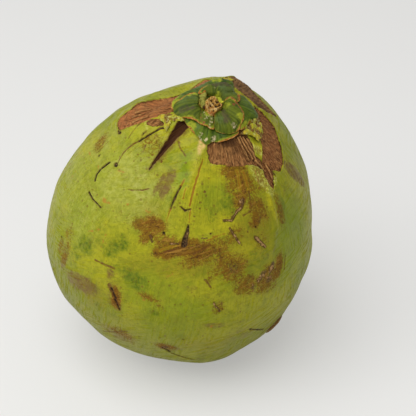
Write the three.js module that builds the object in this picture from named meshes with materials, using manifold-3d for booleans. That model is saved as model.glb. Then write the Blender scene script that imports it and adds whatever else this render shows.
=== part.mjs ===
// A green coconut as picked: a young coconut in its smooth husk, with the calyx
// and the scar of the stalk still on its crown. It lies tipped on a small flat spot.
// Millimetres, +Z up. The origin is the middle of the flat spot that it rests on.
import * as THREE from 'three';
import { mergeVertices } from 'three/addons/utils/BufferGeometryUtils.js';
import Module from 'manifold-3d';

// ---- driving dimensions: the husk, upright in its own frame ----
const HUSK_LENGTH = 200;        // from the tip (z = 0) to the crown, along the fruit's axis
const BELLY_RADIUS = 88;        // mean radius of the widest ring
const BELLY_HEIGHT = 96;        // height of the widest ring
const CROWN_REACH = 57.6;       // how far the crown runs level before it turns down
const SHOULDER_REACH = 27.8;    // how far the belly runs straight up before the shoulder
const LOWER_REACH = 64.3;       // how far the belly runs straight down
const TIP_REACH = 59;           // how far the tip runs level before it turns up

// Three blunt ridges run from the crown to the tip, strongest at the crown.
const RIDGE_COUNT = 3;
const RIDGE_LONGITUDE = -54;    // degrees, of the first ridge
const RIDGE_AT_CROWN = 0.08;    // ridge height, as a part of the radius there
const RIDGE_AT_BELLY = 0.017;
const RIDGE_AT_TIP = 0.042;
const OVAL = 0.021;             // the section is a little wider one way
const OVAL_LONGITUDE = 41;
const BOW = 9.4;                // how far the middle of the axis bows to one side
const BOW_LONGITUDE = -108;

// ---- driving dimensions: how it lies ----
const LEAN_RIGHT = 9;           // degrees that the crown leans towards +X
const LEAN_FRONT = 17.5;        // degrees that the crown leans towards -Y
const FLAT_DEPTH = 2;           // how much the husk is pressed flat where it rests

// ---- driving dimensions: the calyx ----
const STALK_X = 0.7;            // the stalk stands a little off the husk's axis
const STALK_Y = -2.5;
const GAP = 0.3;                // clearance between pieces that touch
const PETAL_THICKNESS = 1.8;
const SEPAL_THICKNESS = 1.7;
const SCALE_THICKNESS = 1.9;
const RIM_THICKNESS = 0.6;      // every leaf thins to this along its edge
const LEAF_ROUNDING = 0.4;      // how much shorter a leaf is at its sides than in its middle
const STUB_RADIUS = 5.2;
const STUB_HEIGHT = 4.6;

// Leaves round the stalk: where each points, how far from the stalk it starts and ends, and
// how many degrees it spreads to each side. The petals are the inner whorl, on the husk.
const PETALS = [
  { name: 'petal_back', longitude: 130, foot: 6.5, reach: 25.5, spread: 56 },
  { name: 'petal_right', longitude: 15, foot: 6.5, reach: 28.5, spread: 51 },
  { name: 'petal_front', longitude: -93, foot: 6.5, reach: 25.5, spread: 54 },
];
// The sepals are the outer, smaller whorl, which lies over the petals.
const SEPALS = [
  { name: 'sepal_left', longitude: 192, foot: 10.5, reach: 23.5, spread: 44 },
  { name: 'sepal_back', longitude: 71, foot: 8.6, reach: 22.5, spread: 43 },
  { name: 'sepal_front', longitude: -33, foot: 6.5, reach: 20.5, spread: 57 },
];
// Two dry scales (bracteoles) clasp the stub of the stalk.
const SCALES = [
  { name: 'bracteole_left', longitude: 175, foot: 5.7, reach: 10, spread: 36 },
  { name: 'bracteole_right', longitude: 56, foot: 5.7, reach: 8.2, spread: 28 },
];

// ---- how finely the shapes are divided ----
const HUSK_SEGMENTS = 72;
const HUSK_RINGS = 20;          // rings above the belly, and as many below it
const LEAF_ACROSS = 12;
const LEAF_ALONG = 7;
const STUB_SEGMENTS = 24;

// ---- finishes ----
const SKIN = { color: 0x8aa22c, roughness: 0.42, metalness: 0 };
const PETAL = { color: 0x2f5a24, roughness: 0.5, metalness: 0 };
const SEPAL = { color: 0x3c6a2c, roughness: 0.5, metalness: 0 };
const SCALE = { color: 0x93a04a, roughness: 0.7, metalness: 0 };
const STUB = { color: 0xb98a4c, roughness: 0.85, metalness: 0 };

const wasm = await Module();
wasm.setup();

const radians = THREE.MathUtils.degToRad;
const smoothstep = THREE.MathUtils.smoothstep;
const lerp = THREE.MathUtils.lerp;

// ---- the husk's surface ----

const crownArc = new THREE.CubicBezierCurve(
  new THREE.Vector2(0, HUSK_LENGTH),
  new THREE.Vector2(CROWN_REACH, HUSK_LENGTH),
  new THREE.Vector2(BELLY_RADIUS, BELLY_HEIGHT + SHOULDER_REACH),
  new THREE.Vector2(BELLY_RADIUS, BELLY_HEIGHT),
);

const tipArc = new THREE.CubicBezierCurve(
  new THREE.Vector2(BELLY_RADIUS, BELLY_HEIGHT),
  new THREE.Vector2(BELLY_RADIUS, BELLY_HEIGHT - LOWER_REACH),
  new THREE.Vector2(TIP_REACH, 0),
  new THREE.Vector2(0, 0),
);

/** Height of the ridges at a height on the husk, as a part of the radius. */
function ridgeHeight(z) {
  const toCrown = smoothstep(z, BELLY_HEIGHT, 0.97 * HUSK_LENGTH);
  const toTip = 1 - smoothstep(z, 0.03 * HUSK_LENGTH, BELLY_HEIGHT);
  return RIDGE_AT_BELLY + (RIDGE_AT_CROWN - RIDGE_AT_BELLY) * toCrown
    + (RIDGE_AT_TIP - RIDGE_AT_BELLY) * toTip;
}

/** How much wider than round the husk is at a height and a longitude in radians. */
function swelling(z, longitude) {
  const ridges = ridgeHeight(z) * Math.cos(RIDGE_COUNT * (longitude - radians(RIDGE_LONGITUDE)));
  const oval = OVAL * Math.cos(2 * (longitude - radians(OVAL_LONGITUDE)));
  return 1 + ridges + oval;
}

/** The point of the husk's skin for a round radius, a height and a longitude in radians. */
function skinPoint(radius, z, longitude) {
  const swollen = radius * swelling(z, longitude);
  const part = z / HUSK_LENGTH;
  const bow = BOW * 4 * part * (1 - part);
  return new THREE.Vector3(
    swollen * Math.cos(longitude) + bow * Math.cos(radians(BOW_LONGITUDE)),
    swollen * Math.sin(longitude) + bow * Math.sin(radians(BOW_LONGITUDE)),
    z,
  );
}

/** Height of the crown's arc at a distance from the axis, found by halving. */
function crownHeight(radius) {
  let low = 0;
  let high = 1;
  for (let step = 0; step < 30; step += 1) {
    const middle = (low + high) / 2;
    if (crownArc.getPoint(middle).x < radius) low = middle;
    else high = middle;
  }
  return crownArc.getPoint(low).y;
}

/** The skin of the crown under a point x, y beside the husk's axis. */
function crownPoint(x, y) {
  const longitude = Math.atan2(y, x);
  const radius = Math.hypot(x, y) / swelling(HUSK_LENGTH, longitude);
  return skinPoint(radius, crownHeight(radius), longitude);
}

/** The outward normal of the crown there. */
function crownNormal(x, y) {
  const step = 0.01;
  const here = crownPoint(x, y);
  const right = crownPoint(x + step, y).sub(here);
  const back = crownPoint(x, y + step).sub(here);
  return right.cross(back).normalize();
}

// ---- how the fruit lies ----

const axis = new THREE.Vector3(
  Math.sin(radians(LEAN_RIGHT)),
  -Math.sin(radians(LEAN_FRONT)) * Math.cos(radians(LEAN_RIGHT)),
  Math.cos(radians(LEAN_FRONT)) * Math.cos(radians(LEAN_RIGHT)),
);
const tip = new THREE.Matrix4().makeRotationFromQuaternion(
  new THREE.Quaternion().setFromUnitVectors(new THREE.Vector3(0, 0, 1), axis),
);

/** Joins the equal vertices of a geometry, so that only its shape is left. */
function welded(geometry) {
  geometry.deleteAttribute('normal');
  geometry.deleteAttribute('uv');
  return mergeVertices(geometry, 1e-4);
}

/** The triangles of an indexed geometry, without those that have shrunk to a line. */
function fullTriangles(geometry) {
  const index = geometry.index.array;
  const kept = [];
  for (let i = 0; i < index.length; i += 3) {
    const [a, b, c] = index.slice(i, i + 3);
    if (a !== b && b !== c && c !== a) kept.push(a, b, c);
  }
  return kept;
}

function toSolid(geometry) {
  return new wasm.Manifold(new wasm.Mesh({
    numProp: 3,
    vertProperties: new Float32Array(geometry.attributes.position.array),
    triVerts: new Uint32Array(fullTriangles(geometry)),
  }));
}

function toGeometry(solid) {
  const mesh = solid.getMesh();
  const geometry = new THREE.BufferGeometry();
  geometry.setAttribute('position', new THREE.BufferAttribute(mesh.vertProperties, 3));
  geometry.setIndex(new THREE.BufferAttribute(mesh.triVerts, 1));
  return geometry;
}

/** The whole husk, tipped to its lean but not yet cut flat or put over the origin. */
function leaningHusk() {
  const profile = [
    ...tipArc.getPoints(HUSK_RINGS).reverse(),
    ...crownArc.getPoints(HUSK_RINGS).reverse().slice(1),
  ];
  const geometry = new THREE.LatheGeometry(profile, HUSK_SEGMENTS);
  geometry.rotateX(Math.PI / 2);
  const position = geometry.attributes.position;
  for (let i = 0; i < position.count; i += 1) {
    const x = position.getX(i);
    const y = position.getY(i);
    const skin = skinPoint(Math.hypot(x, y), position.getZ(i), Math.atan2(y, x));
    position.setXYZ(i, skin.x, skin.y, skin.z);
  }
  geometry.applyMatrix4(tip);
  return welded(geometry);
}

/** Sets the husk down: lowered so that its lowest part is cut flat at z = 0. */
function settledHusk() {
  const geometry = leaningHusk();
  geometry.computeBoundingBox();
  const drop = -geometry.boundingBox.min.z - FLAT_DEPTH;
  geometry.translate(0, 0, drop);
  const below = new THREE.BoxGeometry(300, 300, 100);
  below.translate(0, 0, -50);
  const cut = toGeometry(toSolid(geometry).subtract(toSolid(welded(below))));
  const centre = flatCentre(cut);
  cut.translate(-centre.x, -centre.y, 0);
  return { geometry: cut, shift: new THREE.Vector3(-centre.x, -centre.y, drop) };
}

/** The middle of the flat spot, which is every vertex at z = 0. */
function flatCentre(geometry) {
  const spot = new THREE.Box3();
  const position = geometry.attributes.position;
  const vertex = new THREE.Vector3();
  for (let i = 0; i < position.count; i += 1) {
    vertex.fromBufferAttribute(position, i);
    if (Math.abs(vertex.z) < 1e-4) spot.expandByPoint(vertex);
  }
  return spot.getCenter(new THREE.Vector3());
}

// ---- the leaves of the calyx ----

/**
 * A leathery leaf that follows the crown: a fan around the stalk with a rounded outer
 * edge. It starts `base` above the skin and thins towards its edge.
 */
function leafGeometry({ longitude, foot, reach, spread }, base, thickness) {
  const positions = [];
  const surfacePoint = (u, v, top) => {
    const rounded = 1 - LEAF_ROUNDING * Math.abs(u) ** 3;
    const radius = lerp(foot, foot + (reach - foot) * rounded, v);
    const around = radians(longitude) + radians(spread) * u;
    const x = STALK_X + radius * Math.cos(around);
    const y = STALK_Y + radius * Math.sin(around);
    const edge = Math.max(Math.abs(u), v);
    const full = lerp(thickness, RIM_THICKNESS, smoothstep(edge, 0.55, 1));
    return crownPoint(x, y).addScaledVector(crownNormal(x, y), base + (top ? full : 0));
  };
  for (const top of [true, false]) {
    for (let j = 0; j <= LEAF_ALONG; j += 1) {
      for (let i = 0; i <= LEAF_ACROSS; i += 1) {
        const point = surfacePoint(2 * i / LEAF_ACROSS - 1, j / LEAF_ALONG, top);
        positions.push(point.x, point.y, point.z);
      }
    }
  }
  const geometry = new THREE.BufferGeometry();
  geometry.setAttribute('position', new THREE.Float32BufferAttribute(positions, 3));
  geometry.setIndex(leafTriangles());
  return geometry;
}

/** Triangles of a leaf: a top grid, a bottom grid and the wall around them. */
function leafTriangles() {
  const across = LEAF_ACROSS + 1;
  const bottom = across * (LEAF_ALONG + 1);
  const triangles = [];
  const quad = (a, b, c, d) => triangles.push(a, b, c, a, c, d);
  for (let j = 0; j < LEAF_ALONG; j += 1) {
    for (let i = 0; i < LEAF_ACROSS; i += 1) {
      const a = j * across + i;
      const b = a + across;
      quad(a, b, b + 1, a + 1);
      quad(bottom + a, bottom + a + 1, bottom + b + 1, bottom + b);
    }
  }
  const rim = [];
  for (let i = 0; i < LEAF_ACROSS; i += 1) rim.push(i);
  for (let j = 0; j < LEAF_ALONG; j += 1) rim.push(j * across + LEAF_ACROSS);
  for (let i = LEAF_ACROSS; i > 0; i -= 1) rim.push(LEAF_ALONG * across + i);
  for (let j = LEAF_ALONG; j > 0; j -= 1) rim.push(j * across);
  rim.forEach((here, k) => {
    const next = rim[(k + 1) % rim.length];
    quad(here, next, bottom + next, bottom + here);
  });
  return triangles;
}

/** The stub of the stalk: a short woody plug with a sunken end. */
function stubGeometry() {
  const foot = HUSK_LENGTH + GAP;
  const top = HUSK_LENGTH + STUB_HEIGHT;
  const profile = [
    new THREE.Vector2(0, foot),
    new THREE.Vector2(STUB_RADIUS, foot),
    new THREE.Vector2(0.92 * STUB_RADIUS, lerp(foot, top, 0.5)),
    new THREE.Vector2(STUB_RADIUS, lerp(foot, top, 0.85)),
    new THREE.Vector2(0.9 * STUB_RADIUS, top),
    new THREE.Vector2(0.6 * STUB_RADIUS, top - 0.4),
    new THREE.Vector2(0, top - 1),
  ];
  const geometry = new THREE.LatheGeometry(profile, STUB_SEGMENTS);
  geometry.rotateX(Math.PI / 2);
  geometry.translate(STALK_X, STALK_Y, 0);
  return welded(geometry);
}

// ---- the assembly ----

function namedMesh(name, geometry, finish) {
  const mesh = new THREE.Mesh(geometry, new THREE.MeshStandardMaterial(finish));
  mesh.name = name;
  return mesh;
}

function buildCoconut() {
  const coconut = new THREE.Group();
  const husk = settledHusk();
  const lay = (geometry) => geometry.applyMatrix4(tip)
    .translate(husk.shift.x, husk.shift.y, husk.shift.z);
  coconut.add(namedMesh('husk', husk.geometry, SKIN));

  const upperBase = GAP + PETAL_THICKNESS + GAP;
  for (const leaf of PETALS) {
    coconut.add(namedMesh(leaf.name, lay(leafGeometry(leaf, GAP, PETAL_THICKNESS)), PETAL));
  }
  for (const leaf of SEPALS) {
    coconut.add(namedMesh(leaf.name, lay(leafGeometry(leaf, upperBase, SEPAL_THICKNESS)), SEPAL));
  }
  for (const leaf of SCALES) {
    coconut.add(namedMesh(leaf.name, lay(leafGeometry(leaf, upperBase, SCALE_THICKNESS)), SCALE));
  }
  coconut.add(namedMesh('stalk_stub', lay(stubGeometry()), STUB));
  return coconut;
}

export default buildCoconut();
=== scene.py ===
# %% [markdown]
# # A green coconut, as picked
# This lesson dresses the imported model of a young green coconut. The construction is fixed:
# the husk, the six leaves of the calyx, two dry scales and the stub of the stalk are already
# at their real size. Here each of them gets its fine shape and its finish. Everything is in
# metres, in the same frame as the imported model, so the sizes below are millimetres times MM.

# %% Load the fixed frame
import math
import random
import bpy
import numpy as np
from mathutils import Matrix, Vector, noise
from mathutils.bvhtree import BVHTree


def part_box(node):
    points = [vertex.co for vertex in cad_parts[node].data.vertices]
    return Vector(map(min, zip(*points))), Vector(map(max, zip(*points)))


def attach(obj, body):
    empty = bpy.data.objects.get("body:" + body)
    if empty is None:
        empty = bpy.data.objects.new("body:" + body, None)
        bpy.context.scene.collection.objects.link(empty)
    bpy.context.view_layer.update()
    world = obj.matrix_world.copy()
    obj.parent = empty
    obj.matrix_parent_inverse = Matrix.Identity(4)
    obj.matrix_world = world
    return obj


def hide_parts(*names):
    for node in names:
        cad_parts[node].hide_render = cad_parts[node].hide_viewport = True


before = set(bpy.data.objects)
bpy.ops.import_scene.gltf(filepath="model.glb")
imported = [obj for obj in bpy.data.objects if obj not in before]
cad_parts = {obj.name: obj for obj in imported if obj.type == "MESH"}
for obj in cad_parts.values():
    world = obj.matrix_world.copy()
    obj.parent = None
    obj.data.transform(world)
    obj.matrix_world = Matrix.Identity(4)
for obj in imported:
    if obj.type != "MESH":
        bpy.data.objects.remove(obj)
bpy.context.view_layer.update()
MM = 0.001
print("nodes:", sorted(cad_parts))

# %% [markdown]
# ## Camera, light and floor
# The coconut lies on a plain pale surface under large soft lights. The camera looks down at
# it from the front with a long lens, so that the fruit is hardly distorted. It aims a little
# past the middle of the husk, which leaves more room on the right than on the left. The main
# light comes from above, left and front, and a weaker one from the left; the even sky fills
# the rest.

# %% Camera
husk_low, husk_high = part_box("husk")
centre = (husk_low + husk_high) / 2
ELEVATION = math.radians(33)
FIELD_OF_VIEW = math.radians(20)
CAMERA_DISTANCE = 792 * MM
aim = centre + Vector((19, 7, -1)) * MM


def make_camera():
    data = bpy.data.cameras.new("camera")
    data.sensor_width = 36
    data.lens = data.sensor_width / 2 / math.tan(FIELD_OF_VIEW / 2)
    camera = bpy.data.objects.new("camera", data)
    bpy.context.scene.collection.objects.link(camera)
    back = Vector((0, -math.cos(ELEVATION), math.sin(ELEVATION)))
    camera.location = aim + back * CAMERA_DISTANCE
    camera.rotation_euler = back.to_track_quat("Z", "Y").to_euler()
    return camera


bpy.context.scene.camera = make_camera()
print("camera at", [round(v, 3) for v in bpy.context.scene.camera.location])

# %% Soft studio light
scene = bpy.context.scene
scene.view_settings.view_transform = "Standard"
SKY_STRENGTH = 0.50


def make_sky():
    world = bpy.data.worlds.new("studio")
    world.use_nodes = True
    background = world.node_tree.nodes["Background"]
    background.inputs["Color"].default_value = (1.0, 0.992, 0.97, 1)
    background.inputs["Strength"].default_value = SKY_STRENGTH
    scene.world = world


def soft_box(name, size, watts, place, towards):
    """A square lamp at a place, facing a point."""
    data = bpy.data.lights.new(name, "AREA")
    data.size = size
    data.energy = watts
    lamp = bpy.data.objects.new(name, data)
    scene.collection.objects.link(lamp)
    lamp.location = place
    lamp.rotation_euler = (Vector(place) - Vector(towards)).to_track_quat("Z", "Y").to_euler()
    return lamp


make_sky()
soft_box("overhead_box", 1.5, 20, centre + Vector((-0.5, -0.5, 1.35)), centre)
soft_box("left_box", 0.9, 4, centre + Vector((-1.3, -0.7, 0.8)), centre)

# %% [markdown]
# The floor is pale, but not a lit white: its colour does that work. What the camera sees of
# it is partly an even glow, as on a white table that lets light through, so the shadow of
# the fruit stays soft and light. The glow reaches the camera only and lights nothing.

# %% Floor
FLOOR_COLOUR = (0.80, 0.798, 0.788, 1)
GLOW_COLOUR = (0.80, 0.797, 0.785, 1)
GLOW_SHARE = 0.45


def start_clean():
    """Nothing is selected, so the next operator works on the new piece only."""
    if bpy.context.object and bpy.context.object.mode != "OBJECT":
        bpy.ops.object.mode_set(mode="OBJECT")
    bpy.ops.object.select_all(action="DESELECT")


def make_floor():
    start_clean()
    bpy.ops.mesh.primitive_plane_add(size=12, location=(0, 0, 0))
    floor = bpy.context.object
    floor.name = "floor"
    material = bpy.data.materials.new("pale_floor")
    material.use_nodes = True
    tree = material.node_tree
    shader = tree.nodes["Principled BSDF"]
    shader.inputs["Base Color"].default_value = FLOOR_COLOUR
    shader.inputs["Roughness"].default_value = 0.6
    shader.inputs["Specular IOR Level"].default_value = 0.2
    glow = tree.nodes.new("ShaderNodeEmission")
    glow.inputs["Color"].default_value = GLOW_COLOUR
    rays = tree.nodes.new("ShaderNodeLightPath")
    share = tree.nodes.new("ShaderNodeMath")
    share.operation = "MULTIPLY"
    share.inputs[1].default_value = GLOW_SHARE
    both = tree.nodes.new("ShaderNodeMixShader")
    tree.links.new(rays.outputs["Is Camera Ray"], share.inputs[0])
    tree.links.new(share.outputs[0], both.inputs["Fac"])
    tree.links.new(shader.outputs[0], both.inputs[1])
    tree.links.new(glow.outputs[0], both.inputs[2])
    tree.links.new(both.outputs[0], tree.nodes["Material Output"].inputs["Surface"])
    floor.data.materials.append(material)
    return floor


make_floor()

# %% [markdown]
# ## Places on the fruit
# Every mark on the skin is placed as on a globe. The pole is the crown, where the fruit hung
# from its stalk, at a latitude of 90 degrees. Longitudes run round the fruit's own axis: 0 is
# the right side and -90 the front, where the camera is. A place is found on the husk by a ray
# from the middle of the fruit, so two whole degrees are enough to put a mark where it belongs.

# %% The globe of the fruit
LEAN_RIGHT = math.radians(12.2)
LEAN_FRONT = math.radians(15.6)
pole = Vector((
    math.sin(LEAN_RIGHT),
    -math.sin(LEAN_FRONT) * math.cos(LEAN_RIGHT),
    math.cos(LEAN_FRONT) * math.cos(LEAN_RIGHT),
)).normalized()
east = (Vector((1, 0, 0)) - pole * pole.x).normalized()
north = pole.cross(east)


def direction(longitude, latitude):
    """The unit vector towards a longitude and a latitude, both in degrees."""
    around, up = math.radians(longitude), math.radians(latitude)
    level = east * math.cos(around) + north * math.sin(around)
    return pole * math.sin(up) + level * math.cos(up)


print("the fruit leans by", round(math.degrees(pole.angle(Vector((0, 0, 1)))), 1), "degrees")

# %% [markdown]
# ## The husk: a smooth form
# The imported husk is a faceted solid. Its smooth form is made as by hand: a cube is divided
# and rounded to a ball of even squares, shrunk onto the solid and smoothed, so that the
# facets melt away and the three blunt ridges stay. This form only guides the finished husk,
# and it is deleted at the end.


# %% A ball of even squares
def pick_out(piece):
    """Only this piece is selected and active, so the next operator works on it."""
    start_clean()
    bpy.context.view_layer.objects.active = piece
    piece.select_set(True)


def apply_all(piece):
    """Applies every modifier of a piece, in order."""
    pick_out(piece)
    for modifier in list(piece.modifiers):
        bpy.ops.object.modifier_apply(modifier=modifier.name)


def divide_all(piece, levels):
    """Divides and rounds a piece, after its other modifiers, and applies them all."""
    divide = piece.modifiers.new("divide", "SUBSURF")
    divide.levels = divide.render_levels = levels
    apply_all(piece)


def smooth_faces(piece):
    piece.data.polygons.foreach_set("use_smooth", np.ones(len(piece.data.polygons), bool))


def read_points(piece):
    """The vertices of a piece as rows of x, y, z."""
    points = np.empty(len(piece.data.vertices) * 3)
    piece.data.vertices.foreach_get("co", points)
    return points.reshape(-1, 3)


def write_points(piece, points):
    piece.data.vertices.foreach_set("co", np.ascontiguousarray(points).ravel())
    piece.data.update()


BALL_RADIUS = 90 * MM       # about the fruit's own, so that little is left to move


def even_ball(name, squares, levels):
    """A cube whose sides hold squares x squares faces, divided `levels` times and rounded."""
    start_clean()
    bpy.ops.mesh.primitive_cube_add(size=0.2, location=centre)
    bpy.ops.object.transform_apply(location=True, rotation=True, scale=True)
    ball = bpy.context.object
    ball.name = name
    bpy.ops.object.mode_set(mode="EDIT")
    bpy.ops.mesh.select_all(action="SELECT")
    bpy.ops.mesh.subdivide(number_cuts=squares - 1)
    bpy.ops.object.mode_set(mode="OBJECT")
    divide_all(ball, levels)
    rays = read_points(ball) - np.array(centre)
    rays /= np.linalg.norm(rays, axis=1, keepdims=True)
    write_points(ball, np.array(centre) + rays * BALL_RADIUS)
    return ball


def wrap_onto(piece, target):
    """Moves every vertex of a piece to the nearest point of the target's surface."""
    wrap = piece.modifiers.new("wrap", "SHRINKWRAP")
    wrap.target = target
    wrap.wrap_method = "NEAREST_SURFACEPOINT"
    apply_all(piece)


# %% The smooth form
def make_smooth_form():
    form = even_ball("smooth_form", 3, 4)
    wrap_onto(form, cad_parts["husk"])
    melt = form.modifiers.new("melt", "SMOOTH")
    melt.factor = 0.5
    melt.iterations = 14
    divide_all(form, 2)
    return form


smooth_form = make_smooth_form()
tree = BVHTree.FromObject(smooth_form, bpy.context.evaluated_depsgraph_get())


def skin_point(longitude, latitude):
    """The point of the smooth skin at a longitude and a latitude."""
    return tree.ray_cast(centre, direction(longitude, latitude))[0]


# %% Flat views of a place
def flat_view(points, middle):
    """Points as seen from outside, above a place: across, up and out, in metres."""
    outward = (Vector(middle) - centre).normalized()
    across = pole.cross(outward).normalized()
    axes = np.array([across, outward.cross(across), outward])
    return (points - np.array(middle)) @ axes.T


def smooth_step(value, low, high):
    t = np.clip((value - low) / (high - low), 0, 1)
    return t * t * (3 - 2 * t)


def region_weight(points, place, half_width, half_height, turn=0):
    """1 in the middle of a soft oval on the skin, falling to 0 past its edge."""
    x, y, out = flat_view(points, skin_point(*place)).T / MM
    cosine, sine = math.cos(math.radians(turn)), math.sin(math.radians(turn))
    u = (x * cosine + y * sine) / half_width
    v = (y * cosine - x * sine) / half_height
    in_front = np.abs(out) < 2 * (half_width + half_height)
    return in_front * (1 - smooth_step(np.hypot(u, v), 0.35, 1.25))


# %% [markdown]
# Broad swellings and hollows, some under a millimetre and the greatest 7 mm, make the form
# uneven, as a grown fruit is.

# %% Swellings and hollows
SWELLINGS = [
    # height, place, half width and half height, all but the place in millimetres
    (-3.0, (165, 50), 44, 26), (-7.0, (137, 70), 26, 13), (-3.0, (110, 60), 18, 18),
    (2.2, (141, 44), 18, 16), (-1.8, (163, 18), 26, 22), (-1.8, (-178, -6), 28, 26),
    (1.5, (74, 75), 14, 8), (2.0, (62, 64), 12, 12), (-2.0, (-178, 36), 24, 36),
    (1.2, (174, 60), 16, 12), (-1.6, (50, 60), 26, 12), (2.8, (-2, 38), 34, 50),
    (-1.4, (-3, 17), 26, 24), (1.2, (-14, 0), 16, 14), (1.4, (-20, -20), 30, 30),
    (0.8, (-38, -24), 18, 12), (1.2, (-74, -28), 30, 12), (0.8, (-67, -30), 16, 10),
    (0.9, (-108, -40), 22, 14), (-1.0, (-136, -36), 14, 14), (0.9, (-99, 60), 12, 26),
    (-0.8, (-118, 62), 12, 22), (-0.6, (-84, 58), 10, 22), (0.7, (-60, 40), 16, 26),
    (-0.7, (-76, 30), 16, 18), (0.6, (-135, 30), 30, 26), (-0.8, (-150, -5), 20, 24),
    (1.0, (100, 10), 40, 50), (-1.0, (150, -25), 40, 30), (0.8, (-160, 69), 5, 15),
    (0.8, (-147, 72), 4, 10), (-0.3, (90, 62), 16, 14),
]


def swell(form):
    """Pushes the smooth form in or out, along the line from the middle of the fruit."""
    points = read_points(form)
    rays = points - np.array(centre)
    rays /= np.linalg.norm(rays, axis=1, keepdims=True)
    height = np.zeros(len(points))
    for tall, *oval in SWELLINGS:
        height += tall * region_weight(points, *oval)
    points += rays * height[:, None] * MM
    points[:, 2] = np.maximum(points[:, 2], 0)
    write_points(form, points)
    return BVHTree.FromObject(form, bpy.context.evaluated_depsgraph_get())


tree = swell(smooth_form)
print("smooth form:", len(smooth_form.data.polygons), "faces,", len(SWELLINGS), "swellings")

# %% [markdown]
# ## The marks on the skin
# A coconut that was cut from a bunch has a history on its skin: torn patches where the
# calyx was rubbed off and the fibre shows, a deep gouge, slits and scratches, corky brown
# mottling and soft stains. Each is placed on the globe, to the nearest degree. The same list
# then drives both the shape of the skin and its colour, so the two always agree. First the
# torn patches. A patch has only the corners that its shape needs, and a smooth closed curve
# runs through them.

# %% Torn patches, where the fibre shows
TORN_OUTLINES = {
    "left": [
        (172, 52), (166, 58), (155, 62), (138, 66), (115, 70), (98, 72), (90, 75),
        (130, 84), (-160, 83), (-166, 76), (-165, 70), (-168, 62), (-174, 55),
    ],
    "below left": [
        (-164, 66), (-162, 70), (-158, 74), (-152, 75), (-150, 71), (-156, 68),
    ],
    "right": [
        (-91, 76), (-90, 69), (-84, 67), (-72, 66), (-60, 65), (-50, 64), (-43, 61),
        (-40, 64), (-42, 67), (-37, 71), (-34, 76), (-60, 82),
    ],
    "lobe": [
        (20, 71), (12, 67), (3, 63), (-10, 60), (-20, 57), (-29, 56), (-35, 58), (-41, 53),
        (-44, 57), (-42, 62), (-33, 66), (-26, 69), (-10, 74), (5, 76),
    ],
    "bark": [
        (75, 68), (60, 62), (45, 60), (32, 58), (24, 58), (21, 64), (22, 70), (32, 73),
        (50, 75), (70, 75),
    ],
}
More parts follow.
